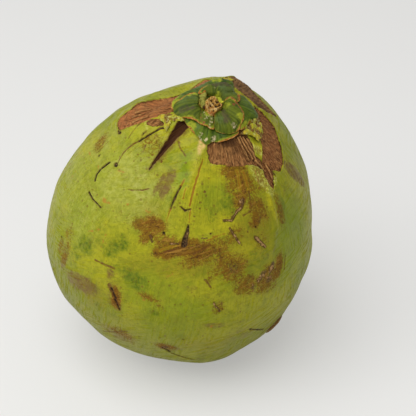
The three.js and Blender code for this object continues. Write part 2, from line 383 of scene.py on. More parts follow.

# %% [markdown]
# Next the lines. Each has its kind, its width in millimetres at both ends, the places where
# it starts and ends, and its bow, if it has one: how far its middle stands out to its right,
# as a share of its length. The gouge is the deep wedge on the left and its flank the khaki
# slope beside it, partly darkened by painted shade; a slit is narrow and almost black; a
# scratch is shallow and brown; a scar has healed to pale cork between dark edges; a vein is a
# thin orange-brown line; a weal is pale and raised; a graze only colours the skin; a strand is
# a loose fibre in a torn patch; a crest is a fold that stands up.

# %% Lines
LINES = [
    # the gouge, and the curved tear to the left of it
    ("gouge", 10.0, 0.8, (-138, 79), (-131, 57)),
    ("flank_and_shade", 4.5, 2.0, (-129, 75), (-129, 62)),
    ("slit", 1.7, 1.0, (-146, 72), (-151, 66), 0.08),
    ("slit", 1.0, 0.9, (-151, 66), (-152, 61)),
    ("scratch", 1.3, 1.0, (-152, 61), (-150, 50), 0.12),
    ("slit", 1.2, 0.8, (-152, 76), (-148, 75)),
    # on the left side
    ("slit", 1.1, 1.5, (-154, 47), (-155, 43), 0.05),
    ("slit", 1.4, 1.0, (-155, 42), (-152, 38), 0.12),
    ("slit", 1.1, 0.8, (-150, 33), (-140, 33), 0.05),
    ("slit", 1.1, 1.7, (-175, 54), (-171, 55), 0.15),
    ("slit", 0.6, 0.8, (-156, 65), (-155, 63)),
    ("scratch", 0.9, 0.7, (-166, 64), (-160, 58), 0.1),
    ("scratch", 0.8, 0.6, (-169, 42), (-172, 49)),
    ("graze", 1.2, 0.9, (-175, 37), (-166, 41), 0.05),
    ("graze", 0.9, 0.7, (-168, 30), (-165, 20)),
    ("graze", 0.9, 0.7, (-180, 15), (-177, 40)),
    # between the gouge and the middle
    ("scratch", 1.4, 1.1, (-125, 71), (-112, 68), 0.08),
    ("scratch", 0.9, 0.7, (-146, 62), (-143, 60)),
    ("scratch", 0.8, 0.6, (-138, 66), (-134, 64)),
    ("graze", 1.0, 0.7, (-146, 48), (-142, 50)),
    ("scratch", 1.0, 0.8, (-134, 46), (-124, 51), 0.05),
    ("graze", 1.2, 0.8, (-119, 43), (-115, 44)),
    # the long slit, the small crescent and the line beside them
    ("vein", 0.7, 1.2, (-105, 60), (-106, 57)),
    ("slit", 0.8, 1.4, (-106, 57), (-107, 52)),
    ("slit", 1.4, 0.6, (-107, 52), (-107, 48)),
    ("vein", 1.1, 0.5, (-107, 48), (-107, 43)),
    ("slit", 0.7, 1.3, (-102, 50), (-99, 49)),
    ("slit", 1.3, 0.7, (-99, 49), (-96, 50)),
    ("vein", 0.8, 1.2, (-95, 68), (-97, 58)),
    ("vein", 1.6, 1.1, (-97, 58), (-97, 51)),
    ("vein", 0.9, 0.8, (-96, 50), (-95, 45)),
    ("vein", 0.7, 0.8, (-102, 57), (-102, 53)),
    ("slit", 0.5, 3.6, (-95, 44), (-95, 36)),
    # corky scars on the right
    ("scar", 1.6, 1.6, (-77, 47), (-73, 47)),
    ("scar", 2.0, 1.8, (-73, 47), (-67, 51), -0.05),
    ("scar", 1.8, 1.0, (-67, 51), (-65, 54), 0.1),
    ("scratch", 1.4, 0.8, (-66, 48), (-62, 49)),
    ("scar", 1.2, 1.5, (-74, 44), (-69, 38)),
    ("scar", 2.2, 2.2, (-61, 39), (-56, 34)),
    ("scar", 1.3, 1.1, (-87, 40), (-85, 40)),
    ("scar", 1.6, 1.2, (-101, 35), (-98, 36)),
    ("scar", 1.4, 1.2, (-112, 35), (-110, 33)),
    ("scratch", 1.5, 1.1, (-83, 23), (-80, 20)),
    ("scar", 1.3, 1.1, (-78, 13), (-75, 9)),
    ("scratch", 1.0, 0.8, (-75, 13), (-74, 10)),
    # low on the left, and along the foot
    ("scratch", 3.4, 2.4, (-120, 7), (-113, -1)),
    ("slit", 1.2, 1.6, (-119, 6), (-116, 3)),
    ("slit", 1.3, 0.9, (-116, 2), (-113, -2)),
    ("scratch", 1.2, 1.8, (-130, 13), (-121, 15)),
    ("graze", 1.0, 0.8, (-131, 26), (-130, 20)),
    ("graze", 0.8, 0.6, (-139, 21), (-133, 27)),
    ("graze", 1.2, 1.0, (-103, 17), (-97, 23)),
    ("slit", 0.9, 2.0, (-93, -17), (-89, -20)),
    ("slit", 1.1, 0.7, (-88, -21), (-77, -25)),
    ("scratch", 1.3, 1.1, (-119, -27), (-108, -14)),
    ("slit", 0.8, 1.1, (-59, -6), (-49, -14)),
    ("scratch", 0.9, 1.0, (-44, 25), (-45, 19)),
    # folds that stand up
    ("crest", 3.0, 5.0, (-46, 54), (-52, 32), -0.05),
    ("crest", 4.0, 3.0, (70, 64), (22, 57)),
    ("crest", 7.0, 3.0, (-99, 70), (-101, 54)),
]

# %% [markdown]
# The mottled band across the front was scuffed, so thin light and dark streaks run through
# it, up towards the right. Tears and loose strands show in the torn patches.

# %% Streaks in the mottling
LINES += [
    ("vein", 0.9, 0.7, (-105, 31), (-99, 35)),
    ("scratch", 1.1, 0.8, (-103, 31), (-95, 35)),
    ("scratch", 1.0, 0.7, (-97, 31), (-91, 36)),
    ("weal", 0.8, 0.6, (-95, 34), (-86, 38), 0.03),
    ("weal", 0.7, 0.6, (-87, 31), (-79, 35)),
    ("weal", 0.7, 0.5, (-102, 31), (-96, 33)),
    ("vein", 0.9, 0.7, (-82, 41), (-76, 42)),
    ("vein", 1.0, 0.8, (-85, 39), (-80, 41)),
    ("scratch", 0.9, 0.8, (-90, 33), (-84, 37)),
    ("scratch", 1.0, 0.7, (-78, 36), (-77, 31)),
    ("vein", 0.9, 0.7, (-65, 64), (-66, 57)),
    ("vein", 1.0, 0.8, (-60, 63), (-60, 56)),
    ("scratch", 1.0, 0.8, (-60, 56), (-61, 50)),
    ("weal", 0.7, 0.5, (-50, 62), (-52, 55)),
    ("weal", 0.6, 0.5, (-47, 62), (-48, 54)),
]

# %% Tears and strands in the torn patches
LINES += [
    ("slit", 1.3, 0.5, (175, 62), (170, 68)),
    ("strand", 1.4, 0.8, (177, 62), (174, 68)),
    ("slit", 1.3, 0.5, (179, 62), (176, 68)),
    ("slit", 1.2, 0.5, (-179, 60), (-179, 66)),
    ("strand", 1.3, 0.8, (-178, 61), (-177, 67)),
    ("slit", 1.1, 0.5, (-174, 62), (-174, 67)),
    ("strand", 1.2, 0.8, (-173, 61), (-172, 67)),
    ("slit", 1.0, 0.5, (167, 66), (163, 70)),
    ("slit", 0.9, 0.4, (165, 73), (160, 75)),
    ("slit", 1.4, 1.0, (-158, 71), (-153, 74)),
    ("slit", 1.4, 0.8, (-166, 76), (-172, 80)),
    ("slit", 1.4, 0.8, (21, 72), (-8, 68), 0.1),
    ("strand", 1.1, 0.8, (-50, 75), (-51, 66)),
    ("strand", 1.2, 1.0, (-46, 75), (-47, 66)),
    ("strand", 1.2, 1.0, (-42, 74), (-44, 65)),
    ("strand", 1.0, 0.8, (-38, 73), (-40, 68)),
    ("strand", 1.3, 1.0, (-45, 65), (-41, 60)),
    ("strand", 1.1, 0.9, (-37, 62), (-38, 56)),
    ("slit", 0.9, 0.6, (-44, 75), (-46, 65)),
    ("slit", 0.9, 0.6, (-48, 74), (-49, 66)),
    ("slit", 0.8, 0.6, (-35, 60), (-35, 56)),
]

# %% [markdown]
# Then round marks, and soft regions. A spot has its kind, its radius in millimetres and its
# place. A region has a strength, its middle, its half width and half height in millimetres,
# and, if it is turned, by how many degrees.

# %% Spots and soft regions
SPOTS = [
    # torn holes, the first at the end of the curved tear
    ("slit", 1.8, (-150, 49)), ("slit", 1.0, (-106, 38)), ("slit", 0.9, (-165, 43)),
    ("slit", 0.8, (-58, -7)), ("slit", 0.7, (-83, 42)),
    # small brown dots
    ("scratch", 0.6, (-87, 62)), ("scratch", 0.7, (-89, 57)), ("scratch", 0.6, (-88, 56)),
    ("scratch", 0.7, (-91, 53)), ("scratch", 0.5, (-91, 51)), ("scratch", 0.5, (-87, 51)),
    ("scratch", 0.6, (-93, 48)), ("scratch", 0.5, (-93, 46)), ("scratch", 0.7, (-81, 49)),
    ("scratch", 0.6, (-76, 57)), ("scratch", 0.5, (-72, 50)), ("scratch", 0.6, (-65, 42)),
    ("scratch", 0.6, (-144, 58)), ("scratch", 0.6, (-143, 55)), ("scratch", 0.8, (-128, 62)),
    # orange stains
    ("graze", 1.8, (-141, 36)), ("graze", 1.2, (-138, 37)), ("graze", 1.2, (-130, 41)),
    ("graze", 1.2, (-42, 2)),
]

REGIONS = {
    "scab": [
        # brown corky mottling: the band across the front, from left to right
        (1.1, (-117, 38), 10, 6, 25), (1.3, (-112, 40), 10, 6, 5), (0.9, (-108, 36), 4, 6),
        (1.1, (-113, 35), 5, 10, -25), (1.0, (-104, 35), 11, 6, 25), (1.4, (-101, 32), 14, 6, 25),
        (1.2, (-92, 35), 12, 9, 15), (1.2, (-87, 35), 15, 8, 22), (0.9, (-88, 30), 15, 5, 25),
        (0.9, (-79, 37), 11, 8, 10), (0.9, (-76, 32), 10, 10), (1.0, (-71, 28), 12, 14, -20),
        (0.8, (-79, 27), 5, 13, -25), (0.8, (-72, 41), 6, 11, -30),
        # and round the corky scar on the right
        (1.0, (-65, 20), 12, 10, -10), (1.0, (-55, 20), 11, 16, -35),
        (1.1, (-49, 22), 6, 14, -10), (0.8, (-53, 15), 9, 6),
        # below the right patch
        (1.2, (-67, 64), 11, 8, -10), (1.2, (-63, 60), 8, 13, 15), (0.9, (-71, 59), 6, 8),
        (1.1, (-67, 54), 6, 8), (1.0, (-57, 49), 9, 14, 15), (1.1, (-60, 45), 6, 6),
        (0.8, (-54, 57), 9, 9), (0.9, (-42, 44), 5, 16), (0.7, (-58, 37), 8, 8, -20),
        # small ones, most of them low down
        (0.9, (-104, 10), 11, 4, -8), (0.7, (-99, 8), 9, 3, -25), (1.2, (-116, 3), 5, 12, 22),
        (0.8, (-110, -18), 14, 8), (1.0, (-91, -16), 10, 6), (0.8, (-76, 11), 6, 8),
        (0.8, (-145, 2), 5, 16), (0.7, (-147, 12), 6, 10), (0.8, (-149, 2), 5, 10),
        (0.7, (-144, 64), 11, 9), (0.6, (-135, 63), 9, 9),
    ],
    "cork": [
        # crusty cork
        (1.1, (-58, 22), 3, 6, -30), (1.1, (-53, 24), 2.5, 6, -25), (0.7, (-54, 19), 4, 5),
        (0.8, (-62, 18), 3, 3), (0.6, (-71, 28), 4, 6), (0.9, (-66, 53), 2.5, 2.5),
        (0.6, (-58, 45), 3, 3), (0.7, (-91, -16), 4, 2.5),
    ],
    "fray": [
        # pale dead tissue in flecks
        (1.3, (-48, 60), 5, 11, 18), (1.0, (-45, 54), 4, 7, 10), (1.2, (-35, 67), 3, 8, 30),
        (0.5, (-86, 67), 5, 1.2), (0.9, (-38, 55), 3, 3), (0.6, (-162, 66), 7, 1.5),
    ],
    "bloom_and_sheen": [
        # pale waxy bloom, and painted sheen and highlight along the left and right edges and on the
        # upper left
        (1.0, (-137, 47), 34, 26), (0.8, (-150, 25), 26, 28), (0.9, (-172, 30), 24, 60),
        (0.9, (-15, 20), 18, 60), (0.7, (160, 62), 40, 20), (0.6, (-100, 66), 3, 8),
        (0.5, (90, 40), 60, 50), (1.4, (-127, 50), 15, 13), (1.3, (-12, 24), 10, 44),
    ],
    "stain": [
        # soft grey-brown stains
        (1.1, (-120, 55), 2.4, 13), (1.3, (-115, 56), 4, 15), (1.6, (-15, 48), 6, 20, 20),
        (0.8, (-117, 3), 9, 17, 20), (1.2, (-132, -2), 19, 10, 25), (1.0, (-137, -5), 10, 12),
        (0.9, (-145, -2), 6, 17), (0.9, (-111, -22), 20, 12), (0.9, (-91, -16), 14, 7),
        (0.7, (-89, 19), 10, 4), (0.7, (-62, -8), 20, 14), (0.8, (-76, 2), 17, 4),
        (1.1, (-122, 12), 4, 6), (0.6, (-70, -20), 17, 7),
    ],
    "smudge_and_shade": [
        # darker green smudges; the two right of the fold on the right, at (-40, 45) and (-30, 42),
        # are painted shade where the skin turns away from the light
        (1.1, (-137, 15), 10, 10), (1.2, (-123, 26), 9, 9), (1.1, (-126, 21), 9, 7),
        (0.8, (-132, 24), 14, 10, -30), (0.9, (-140, 8), 9, 9), (1.2, (-111, 15), 14, 9, -15),
        (0.9, (-119, 17), 7, 6), (0.9, (-126, 1), 7, 9), (0.9, (-123, -7), 7, 7),
        (0.8, (-140, 4), 9, 12), (0.7, (-112, 64), 13, 17, 20), (0.8, (-84, 50), 7, 17, 15),
        (1.0, (-75, 53), 9, 12, 20), (0.8, (-108, 50), 4, 12, 10), (0.6, (-30, 42), 12, 22),
        (0.9, (-40, 45), 7, 14), (0.8, (-60, 30), 20, 12), (0.9, (-100, 4), 9, 4),
        (0.7, (-113, 48), 10, 17), (0.7, (-106, 44), 6, 12, 15), (0.6, (-60, 24), 17, 7),
        (0.6, (-65, 45), 12, 12), (0.5, (-88, 25), 35, 7),
    ],
    "sun_and_highlight": [
        # yellow-green skin that had less shade; the narrow one on the standing fold at (-47, 46) is a
        # painted highlight
        (0.9, (-98, 60), 5, 20, 6), (1.0, (-78, 46), 10, 7), (1.3, (-47, 46), 3, 15, 8),
        (0.7, (-80, 63), 16, 6), (0.7, (-65, 34), 18, 8), (0.8, (-122, 74), 8, 8),
        (1.0, (-157, 71), 14, 5), (1.2, (-34, 67), 4, 8, 25), (1.0, (-28, 58), 3, 10, 60),
        (0.9, (-87, 66), 7, 3), (0.7, (-93, 71), 4, 8),
    ],
    "leaf": [
        # fresher green
        (1.1, (-106, 62), 6, 13, 5), (0.8, (-35, 30), 22, 30), (0.7, (-145, 20), 16, 20),
        (0.6, (-85, 10), 20, 9), (0.5, (120, 20), 40, 40),
    ],
    "olive": [
        # olive green round the mottling
        (0.8, (-96, 27), 32, 9, 12), (0.9, (-125, -3), 12, 14), (0.7, (-117, 43), 10, 9),
        (0.6, (-76, -12), 24, 10), (0.9, (-62, 40), 20, 26),
    ],
    "tan": [
        # a bare tan place beside the calyx
        (1.1, (-99, 73), 3.0, 7.5),
    ],
    "recess_shade": [
        # painted shade: dark fibre under the rim of the calyx and in the depth of the gouge
        (1.1, (-60, 77), 7, 5), (1.3, (-65, 74), 8, 5), (0.9, (-61, 71), 4, 4),
        (0.9, (-72, 78), 6, 3), (0.8, (-20, 75), 9, 5), (0.9, (25, 68), 5, 10),
        (0.9, (-155, 73), 6, 3), (0.6, (170, 79), 8, 4), (0.9, (-138, 74), 4, 8, -20),
    ],
}


def count_regions():
    return sum(len(regions) for regions in REGIONS.values())


print(len(LINES), "lines,", len(SPOTS), "spots and", count_regions(), "regions")

# %% [markdown]
# The far side has the same history, so it gets marks of the same kinds. They are placed by
# chance, but with a fixed seed, so every run gives the same fruit. The near side gets a
# dozen more small dots and stains in the same way.

# %% Marks placed by chance
chance = random.Random(11)
FAR_SIDE = (20, 200)        # longitudes that the camera doesn't see
NEAR_SIDE = (-165, -50)     # and most of those that it does see


def far_place(low, high):
    return chance.uniform(*FAR_SIDE), chance.uniform(low, high)


def short_line(kind, longest):
    """A bowed line of a random length and direction, somewhere on the far side."""
    longitude, latitude = far_place(-55, 62)
    turn = chance.uniform(0, 2 * math.pi)
    length = chance.uniform(0.6, 2) * longest
    end = (
        longitude + length * math.cos(turn) / math.cos(math.radians(latitude)),
        latitude + length * math.sin(turn),
    )
    wide, narrow = chance.uniform(0.6, 1.1), chance.uniform(0.4, 0.8)
    return kind, wide, narrow, (longitude, latitude), end, chance.uniform(-0.2, 0.2)


LINES += [short_line("scratch", 4) for _ in range(16)]
LINES += [short_line("slit", 2.5) for _ in range(7)]
LINES += [short_line("graze", 7) for _ in range(10)]
SPOTS += [("slit", chance.uniform(0.5, 1.2), far_place(-60, 60)) for _ in range(12)]
for kind, count, size in (("scab", 8, 8), ("stain", 5, 9), ("smudge_and_shade", 7, 11), ("sun_and_highlight", 6, 13)):
    for _ in range(count):
        half_width, half_height = chance.uniform(0.5, 1.4) * size, chance.uniform(0.5, 1.2) * size
        strength, turn = chance.uniform(0.6, 1), chance.uniform(-60, 60)
        REGIONS[kind].append((strength, far_place(-50, 60), half_width, half_height, turn))
for kind, size, count in (("slit", 0.8, 6), ("scratch", 0.7, 3), ("graze", 1.3, 3)):
    for _ in range(count):
        place = chance.uniform(*NEAR_SIDE), chance.uniform(-20, 45)
        SPOTS.append((kind, chance.uniform(0.7, 1.2) * size, place))
print("with those by chance:", len(LINES), "lines and", count_regions(), "regions")

# %% [markdown]
# ## From marks to distances
# Both the shape and the colour need to know how far each point of the skin is from each mark.
# A line is drawn as a smooth curve over the skin, and its field is half its width minus the
# distance to it: positive on the mark, zero at its edge and negative outside. An outline's
# field is the distance to its edge. The points are shaken a little by smooth noise before
# they are measured, which makes every drawn edge ragged, as torn skin is.

# %% Curves over the skin
FAR = 8 * MM            # further away than this, a mark has no effect
CURVE_STEP = 0.3 * MM


def onto_skin(points):
    return np.array([tree.find_nearest(Vector(point))[0] for point in points])


def bowed_line(start, end, bow=0):
    """Points along a line over the skin; `bow` moves its middle to its right."""
    first, last = skin_point(*start), skin_point(*end)
    way = last - first
    side = way.cross((first + last) / 2 - centre).normalized()
    bend = (first + last) / 2 + side * way.length * bow * 2
    count = max(2, int(way.length / CURVE_STEP))
    steps = [k / count for k in range(count + 1)]
    return onto_skin([
        first * (1 - t) ** 2 + bend * (2 * t * (1 - t)) + last * t ** 2 for t in steps
    ])


def smooth_stretch(before, start, end, after, count):
    """Points of a smooth curve from a start towards an end, led by the corners beside them."""
    t = np.arange(count)[:, None] / count
    return start + 0.5 * t * (end - before + t * (
        2 * before - 5 * start + 4 * end - after + t * (3 * (start - end) + after - before)
    ))


def closed_curve(places):
    """Points along a smooth closed line over the skin through some corners."""
    corners = np.array([skin_point(*place) for place in places])
    ring = np.vstack([corners[-1:], corners, corners[:2]])
    curve = []
    for before, start, end, after in zip(ring, ring[1:], ring[2:], ring[3:]):
        count = max(2, int(np.linalg.norm(end - start) / CURVE_STEP))
        curve.append(smooth_stretch(before, start, end, after, count))
    return onto_skin(np.vstack(curve))


AT_ONCE = 3000      # points that are measured in one step, to spare memory


def closest(points, curve):
    """The distance from each point to a curve, and how far along the curve that is, 0 to 1."""
    middle = curve.mean(axis=0)
    reach = np.linalg.norm(curve - middle, axis=1).max() + FAR
    distance = np.full(len(points), FAR)
    along = np.zeros(len(points))
    near = np.flatnonzero(np.linalg.norm(points - middle, axis=1) < reach)
    for part in np.array_split(near, len(near) // AT_ONCE + 1):
        gaps = np.linalg.norm(points[part, None] - curve[None], axis=2)
        best = gaps.argmin(axis=1)
        distance[part] = np.minimum(gaps[np.arange(len(part)), best], FAR)
        along[part] = best / (len(curve) - 1)
    return distance, along


line_curves = [bowed_line(*line[3:]) for line in LINES]
torn_curves = {name: closed_curve(places) for name, places in TORN_OUTLINES.items()}
print("curves:", len(line_curves) + len(torn_curves))


# %% Inside a closed curve
PATCH_REACH = 60 * MM       # no torn patch reaches further than this from its middle


def is_inside(points, curve):
    """Which points lie inside a closed curve, seen from outside the fruit."""
    middle = curve.mean(axis=0)
    inside = np.zeros(len(points), bool)
    near = np.flatnonzero(np.linalg.norm(points - middle, axis=1) < PATCH_REACH)
    view = flat_view(points[near], middle)
    ring = flat_view(curve[::4], middle)
    crossed = np.zeros(len(near), bool)
    for (x0, y0, _), (x1, y1, _) in zip(ring, np.roll(ring, -1, axis=0)):
        if y0 != y1:
            between = (view[:, 1] > y0) != (view[:, 1] > y1)
            crossed ^= between & (view[:, 0] < x0 + (view[:, 1] - y0) * (x1 - x0) / (y1 - y0))
    inside[near] = crossed
    return inside


# %% [markdown]
# Some kinds of mark have a tint of their own as well: the left patch is the reddest, and the
# bark on the right has gone grey.

# %% Fields over the skin
LINE_KINDS = (
    "gouge", "flank_and_shade", "slit", "scratch", "scar", "vein", "weal", "graze", "strand", "crest",
)
PATCH_WARMTH = {"left": 1.0, "below left": 0.6, "right": 0.45, "lobe": 0.7, "bark": 0.0}
noise.seed_set(11)      # without a seed, the shaking below would differ from run to run


def wander(points, size, amount):
    """Points shaken by smooth noise of a size, by at most about an amount."""
    shakes = np.array([noise.noise_vector(Vector(point) / size) for point in points])
    return points + shakes * amount


def skin_fields(points):
    """Every field at some points, in millimetres for edges and 0 to 1 for regions."""
    fields = {kind: np.full(len(points), -FAR / MM) for kind in LINE_KINDS + ("torn",)}
    steady = wander(points, 3 * MM, 0.35 * MM)
    ragged = wander(wander(points, 8 * MM, 1.1 * MM), 2 * MM, 0.7 * MM)
    for (kind, start, end, *_), curve in zip(LINES, line_curves):
        distance, along = closest(steady, curve)
        half = (start + (end - start) * along ** 0.6) / 2
        fields[kind] = np.maximum(fields[kind], half - distance / MM)
    for kind, radius, place in SPOTS:
        distance = np.linalg.norm(ragged - np.array(skin_point(*place)), axis=1)
        fields[kind] = np.maximum(fields[kind], radius - distance / MM)
    fields["warmth"] = np.zeros(len(points))
    for name, curve in torn_curves.items():
        distance = closest(ragged, curve)[0] / MM
        field = np.where(is_inside(ragged, curve), distance, -distance)
        fields["warmth"] = np.where(field > fields["torn"], PATCH_WARMTH[name], fields["warmth"])
        fields["torn"] = np.maximum(fields["torn"], field)
    for kind, regions in REGIONS.items():
        fields[kind] = np.zeros(len(points))
        for strength, *oval in regions:
            fields[kind] = np.maximum(fields[kind], strength * region_weight(ragged, *oval))
    # painted shade: the skin is darkened towards its lower end, by height along the fruit's axis
    height = (points - np.array(centre)) @ np.array(pole) / MM
    fields["shade"] = 1 - smooth_step(height, -60, 22)
    return fields


# %% [markdown]
# ## The husk: a finer skin where it matters
# Even squares of 2 mm are enough for smooth skin, but not for a slit or a torn fibre. So the
# faces near a mark are divided twice, each time by the same edit-mode operator, and wrapped
# onto the smooth form again.


# %% Divide the faces near the marks
def face_centres(piece):
    middles = np.empty(len(piece.data.polygons) * 3)
    piece.data.polygons.foreach_get("center", middles)
    return middles.reshape(-1, 3)


def divide_faces(piece, chosen):
    """Divides each chosen face of a piece into four."""
    pick_out(piece)
    mesh = piece.data
    mesh.vertices.foreach_set("select", np.zeros(len(mesh.vertices), bool))
    mesh.edges.foreach_set("select", np.zeros(len(mesh.edges), bool))
    mesh.polygons.foreach_set("select", chosen)
    bpy.context.tool_settings.mesh_select_mode = (False, False, True)
    bpy.ops.object.mode_set(mode="EDIT")
    bpy.ops.mesh.subdivide(number_cuts=1, ngon=False)
    bpy.ops.object.mode_set(mode="OBJECT")


husk = even_ball("husk_skin", 9, 3)
wrap_onto(husk, smooth_form)
for margin, kinds in (
    (2.6, ("gouge", "slit", "scratch", "scar", "strand", "torn", "vein", "weal", "graze")),
    (0.8, ("gouge", "slit", "scratch", "scar", "strand", "torn", "vein", "weal")),
):
    fields = skin_fields(face_centres(husk))
    nearest = np.maximum.reduce([fields[kind] for kind in kinds])
    divide_faces(husk, nearest > -margin)
    wrap_onto(husk, smooth_form)
    print("faces within", margin, "mm of a mark divided:", len(husk.data.polygons), "faces now")

# %% [markdown]
# ## The husk: its relief
# Every mark now pushes the skin in or out along its own normal. The torn patches lie half a
# millimetre to a millimetre deep under a raised lip, with strands of fibre that run down from
# the crown; the gouge is a wedge; slits have a raised rim; corky places are crusty.

# %% Strands and grain
def strands(points, fineness):
    """Ridges that run down from the crown: 0 in the furrows, 1 on the strands."""
    offset = points - np.array(centre)
    up = offset @ np.array(pole)
    right = offset @ np.array(east)
    back = offset @ np.array(north)
    radius = np.hypot(right, back) + 1e-6
    spots = np.stack([fineness * right / radius, fineness * back / radius, up / (9 * MM)], axis=1)
    return 1 - np.abs([noise.noise(Vector(spot)) for spot in spots]) * 2


def small_noise(points, size):
    return np.array([noise.noise(Vector(point) / size) for point in points])


# Heights and depths in millimetres. A lip is the raised edge beside a mark.
PATCH_LIP, PATCH_DEPTH, WARM_DEPTH = 0.45, 0.5, 0.6     # warm fibre lies deeper
LOOSE_STRAND, STRAND_FURROW = 0.7, 0.6
GOUGE_DEPTH, GOUGE_FIBRE, GOUGE_LIP = 2.6, 0.5, 0.5
SLIT_DEPTH, SLIT_LIP = 0.75, 0.22
SCRATCH_DEPTH, SCRATCH_LIP = 0.22, 0.10
CREST_HEIGHT, WEAL_HEIGHT = 0.8, 0.2
SCAR_HEIGHT, SCAR_CRUST, SCAR_GROOVE = 0.35, 0.5, 0.35
CORK_CRUST, SCAB_CRUST = 0.5, 0.12


def lip(field, gap, width):
    """1 along a mark, at `gap` outside its edge, and 0 well away from there."""
    return np.exp(-((field + gap) / width) ** 2)


def husk_relief(points, fields):
    """How far the skin stands up at each point, in millimetres."""
    height = 0.35 * small_noise(points, 30 * MM) + 0.10 * small_noise(points, 9 * MM)
    torn, gouge, slit = fields["torn"], fields["gouge"], fields["slit"]
    in_patch = smooth_step(torn, -0.2, 0.6)
    height += PATCH_LIP * lip(torn, 0.7, 0.6)
    height -= (PATCH_DEPTH + WARM_DEPTH * fields["warmth"]) * in_patch
    fields["fibre"] = 0.20 * strands(points, 26) + 0.24 * strands(points, 60)
    fibres = fields["fibre"] + 0.3 * small_noise(points, 5 * MM)
    loose = smooth_step(fields["strand"], -0.4, 0.4)
    beside = lip(fields["strand"], 0.8, 0.5)
    height += in_patch * (fibres + LOOSE_STRAND * loose - STRAND_FURROW * beside)
    height -= GOUGE_DEPTH * (1 - np.exp(-np.clip(gouge, 0, None) / 2.2))
    in_gouge = smooth_step(gouge, -0.3, 0.4)
    height += GOUGE_FIBRE * in_gouge * strands(points, 40) + GOUGE_LIP * lip(gouge, 0.6, 0.6)
    height -= SLIT_DEPTH * smooth_step(slit, -0.35, 0.45)
    height += SLIT_LIP * lip(slit, 0.6, 0.4)
    height -= SCRATCH_DEPTH * smooth_step(fields["scratch"], -0.3, 0.4)
    height += SCRATCH_LIP * lip(fields["scratch"], 0.5, 0.4)
    height += CREST_HEIGHT * smooth_step(fields["crest"], -1.0, 1.6)
    in_scar = smooth_step(fields["scar"], -0.4, 0.5)
    crust = small_noise(points, 1.6 * MM) + 0.6 * small_noise(points, 3.5 * MM)
    height += in_scar * (SCAR_HEIGHT + SCAR_CRUST * crust)
    height += WEAL_HEIGHT * smooth_step(fields["weal"], -0.3, 0.3)
    height -= SCAR_GROOVE * lip(fields["scar"], 0.2, 0.4)
    height += CORK_CRUST * fields["cork"] * np.clip(crust + 0.2, 0, None)
    height += SCAB_CRUST * fields["scab"] * crust
    return height


# %% Shape the skin
def store(piece, name, values):
    """Keeps a field on the points of a piece, for its material to read."""
    layer = piece.data.attributes.new(name, "FLOAT", "POINT")
    layer.data.foreach_set("value", np.asarray(values, np.float32))


points = read_points(husk)
normals = np.empty(len(points) * 3)
husk.data.vertex_normals.foreach_get("vector", normals)
fields = skin_fields(points)
lift = husk_relief(points, fields)
points += normals.reshape(-1, 3) * lift[:, None] * MM
points[:, 2] = np.maximum(points[:, 2], 0)
write_points(husk, points)
for name, values in fields.items():
    if name != "crest":
        store(husk, name, values)
smooth_faces(husk)
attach(husk, "root")
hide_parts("husk")
print("husk:", len(husk.data.polygons), "faces,", len(fields) - 1, "fields for its colours")

# %% [markdown]
# ## Materials: a short way to write nodes
# A node tree is quicker to read as a few lines than as a long list of links. This helper adds
# a node to one tree and joins it up: a socket's value may be a number, a colour, or the
# output of another node.


# %% A helper for node trees
class Nodes:
    def __init__(self, tree):
        self.tree = tree

    def add(self, kind, sockets=(), **settings):
        """Adds a node. `sockets` pairs a socket's name or number with its value."""
        node = self.tree.nodes.new("ShaderNode" + kind)
        node.location = (220 * (len(self.tree.nodes) % 12), -320 * (len(self.tree.nodes) // 12))
        for name, value in settings.items():
            setattr(node, name, value)
        for name, value in dict(sockets).items():
            self.join(value, node.inputs[name])
        return node

    def join(self, value, socket):
        if isinstance(value, bpy.types.NodeSocket):
            self.tree.links.new(value, socket)
        else:
            socket.default_value = value

    def math(self, operation, a, b=0.0):
        return self.add("Math", {0: a, 1: b}, operation=operation).outputs[0]

    def times(self, a, b):
        return self.math("MULTIPLY", a, b)

    def plus(self, a, b):
        return self.math("ADD", a, b)

    def minus(self, a, b):
        return self.math("SUBTRACT", a, b)

    def highest(self, a, b):
        return self.math("MAXIMUM", a, b)

    def mix(self, factor, below, above):
        """Two colours mixed: `below` where the factor is 0, `above` where it is 1."""
        return self.add("Mix", {0: factor, 6: below, 7: above}, data_type="RGBA").outputs[2]

    def lay(self, below, above, mask, strength):
        """A colour laid over another, as strongly as a mask times a strength says."""
        return self.mix(self.times(mask, strength), below, above)

    def step(self, value, low, high, strength=1.0):
        """0 below `low`, `strength` above `high`, and smooth in between."""
        sockets = {"Value": value, "From Min": low, "From Max": high, "To Max": strength}
        node = self.add("MapRange", sockets, interpolation_type="SMOOTHSTEP")
        return node.outputs["Result"]

    def noise(self, place, scale, detail=2.0, roughness=0.5, distortion=0.0):
        sockets = {
            "Vector": place, "Scale": scale, "Detail": detail, "Roughness": roughness,
            "Distortion": distortion,
        }
        return self.add("TexNoise", sockets).outputs[0]

    def here(self):
        """The place on the piece, in metres."""
        return self.add("TexCoord").outputs["Object"]

    def field(self, name):
        """A field that is stored on the piece's points."""
        return self.add("Attribute", attribute_name=name).outputs["Fac"]

    def group(self, name, **values):
        """The mask that a shared effect gives; `values` fill its inputs by name."""
        node = self.add("Group", node_tree=effects[name])
        for label, value in values.items():
            self.join(value, node.inputs[label])
        return node.outputs["Mask"]


def rgb(red, green, blue):
    return (red, green, blue, 1.0)


def new_material(name):
    """A new material, the helper for its tree, and its main shader."""
    material = bpy.data.materials.new(name)
    material.use_nodes = True
    return material, Nodes(material.node_tree), material.node_tree.nodes["Principled BSDF"]


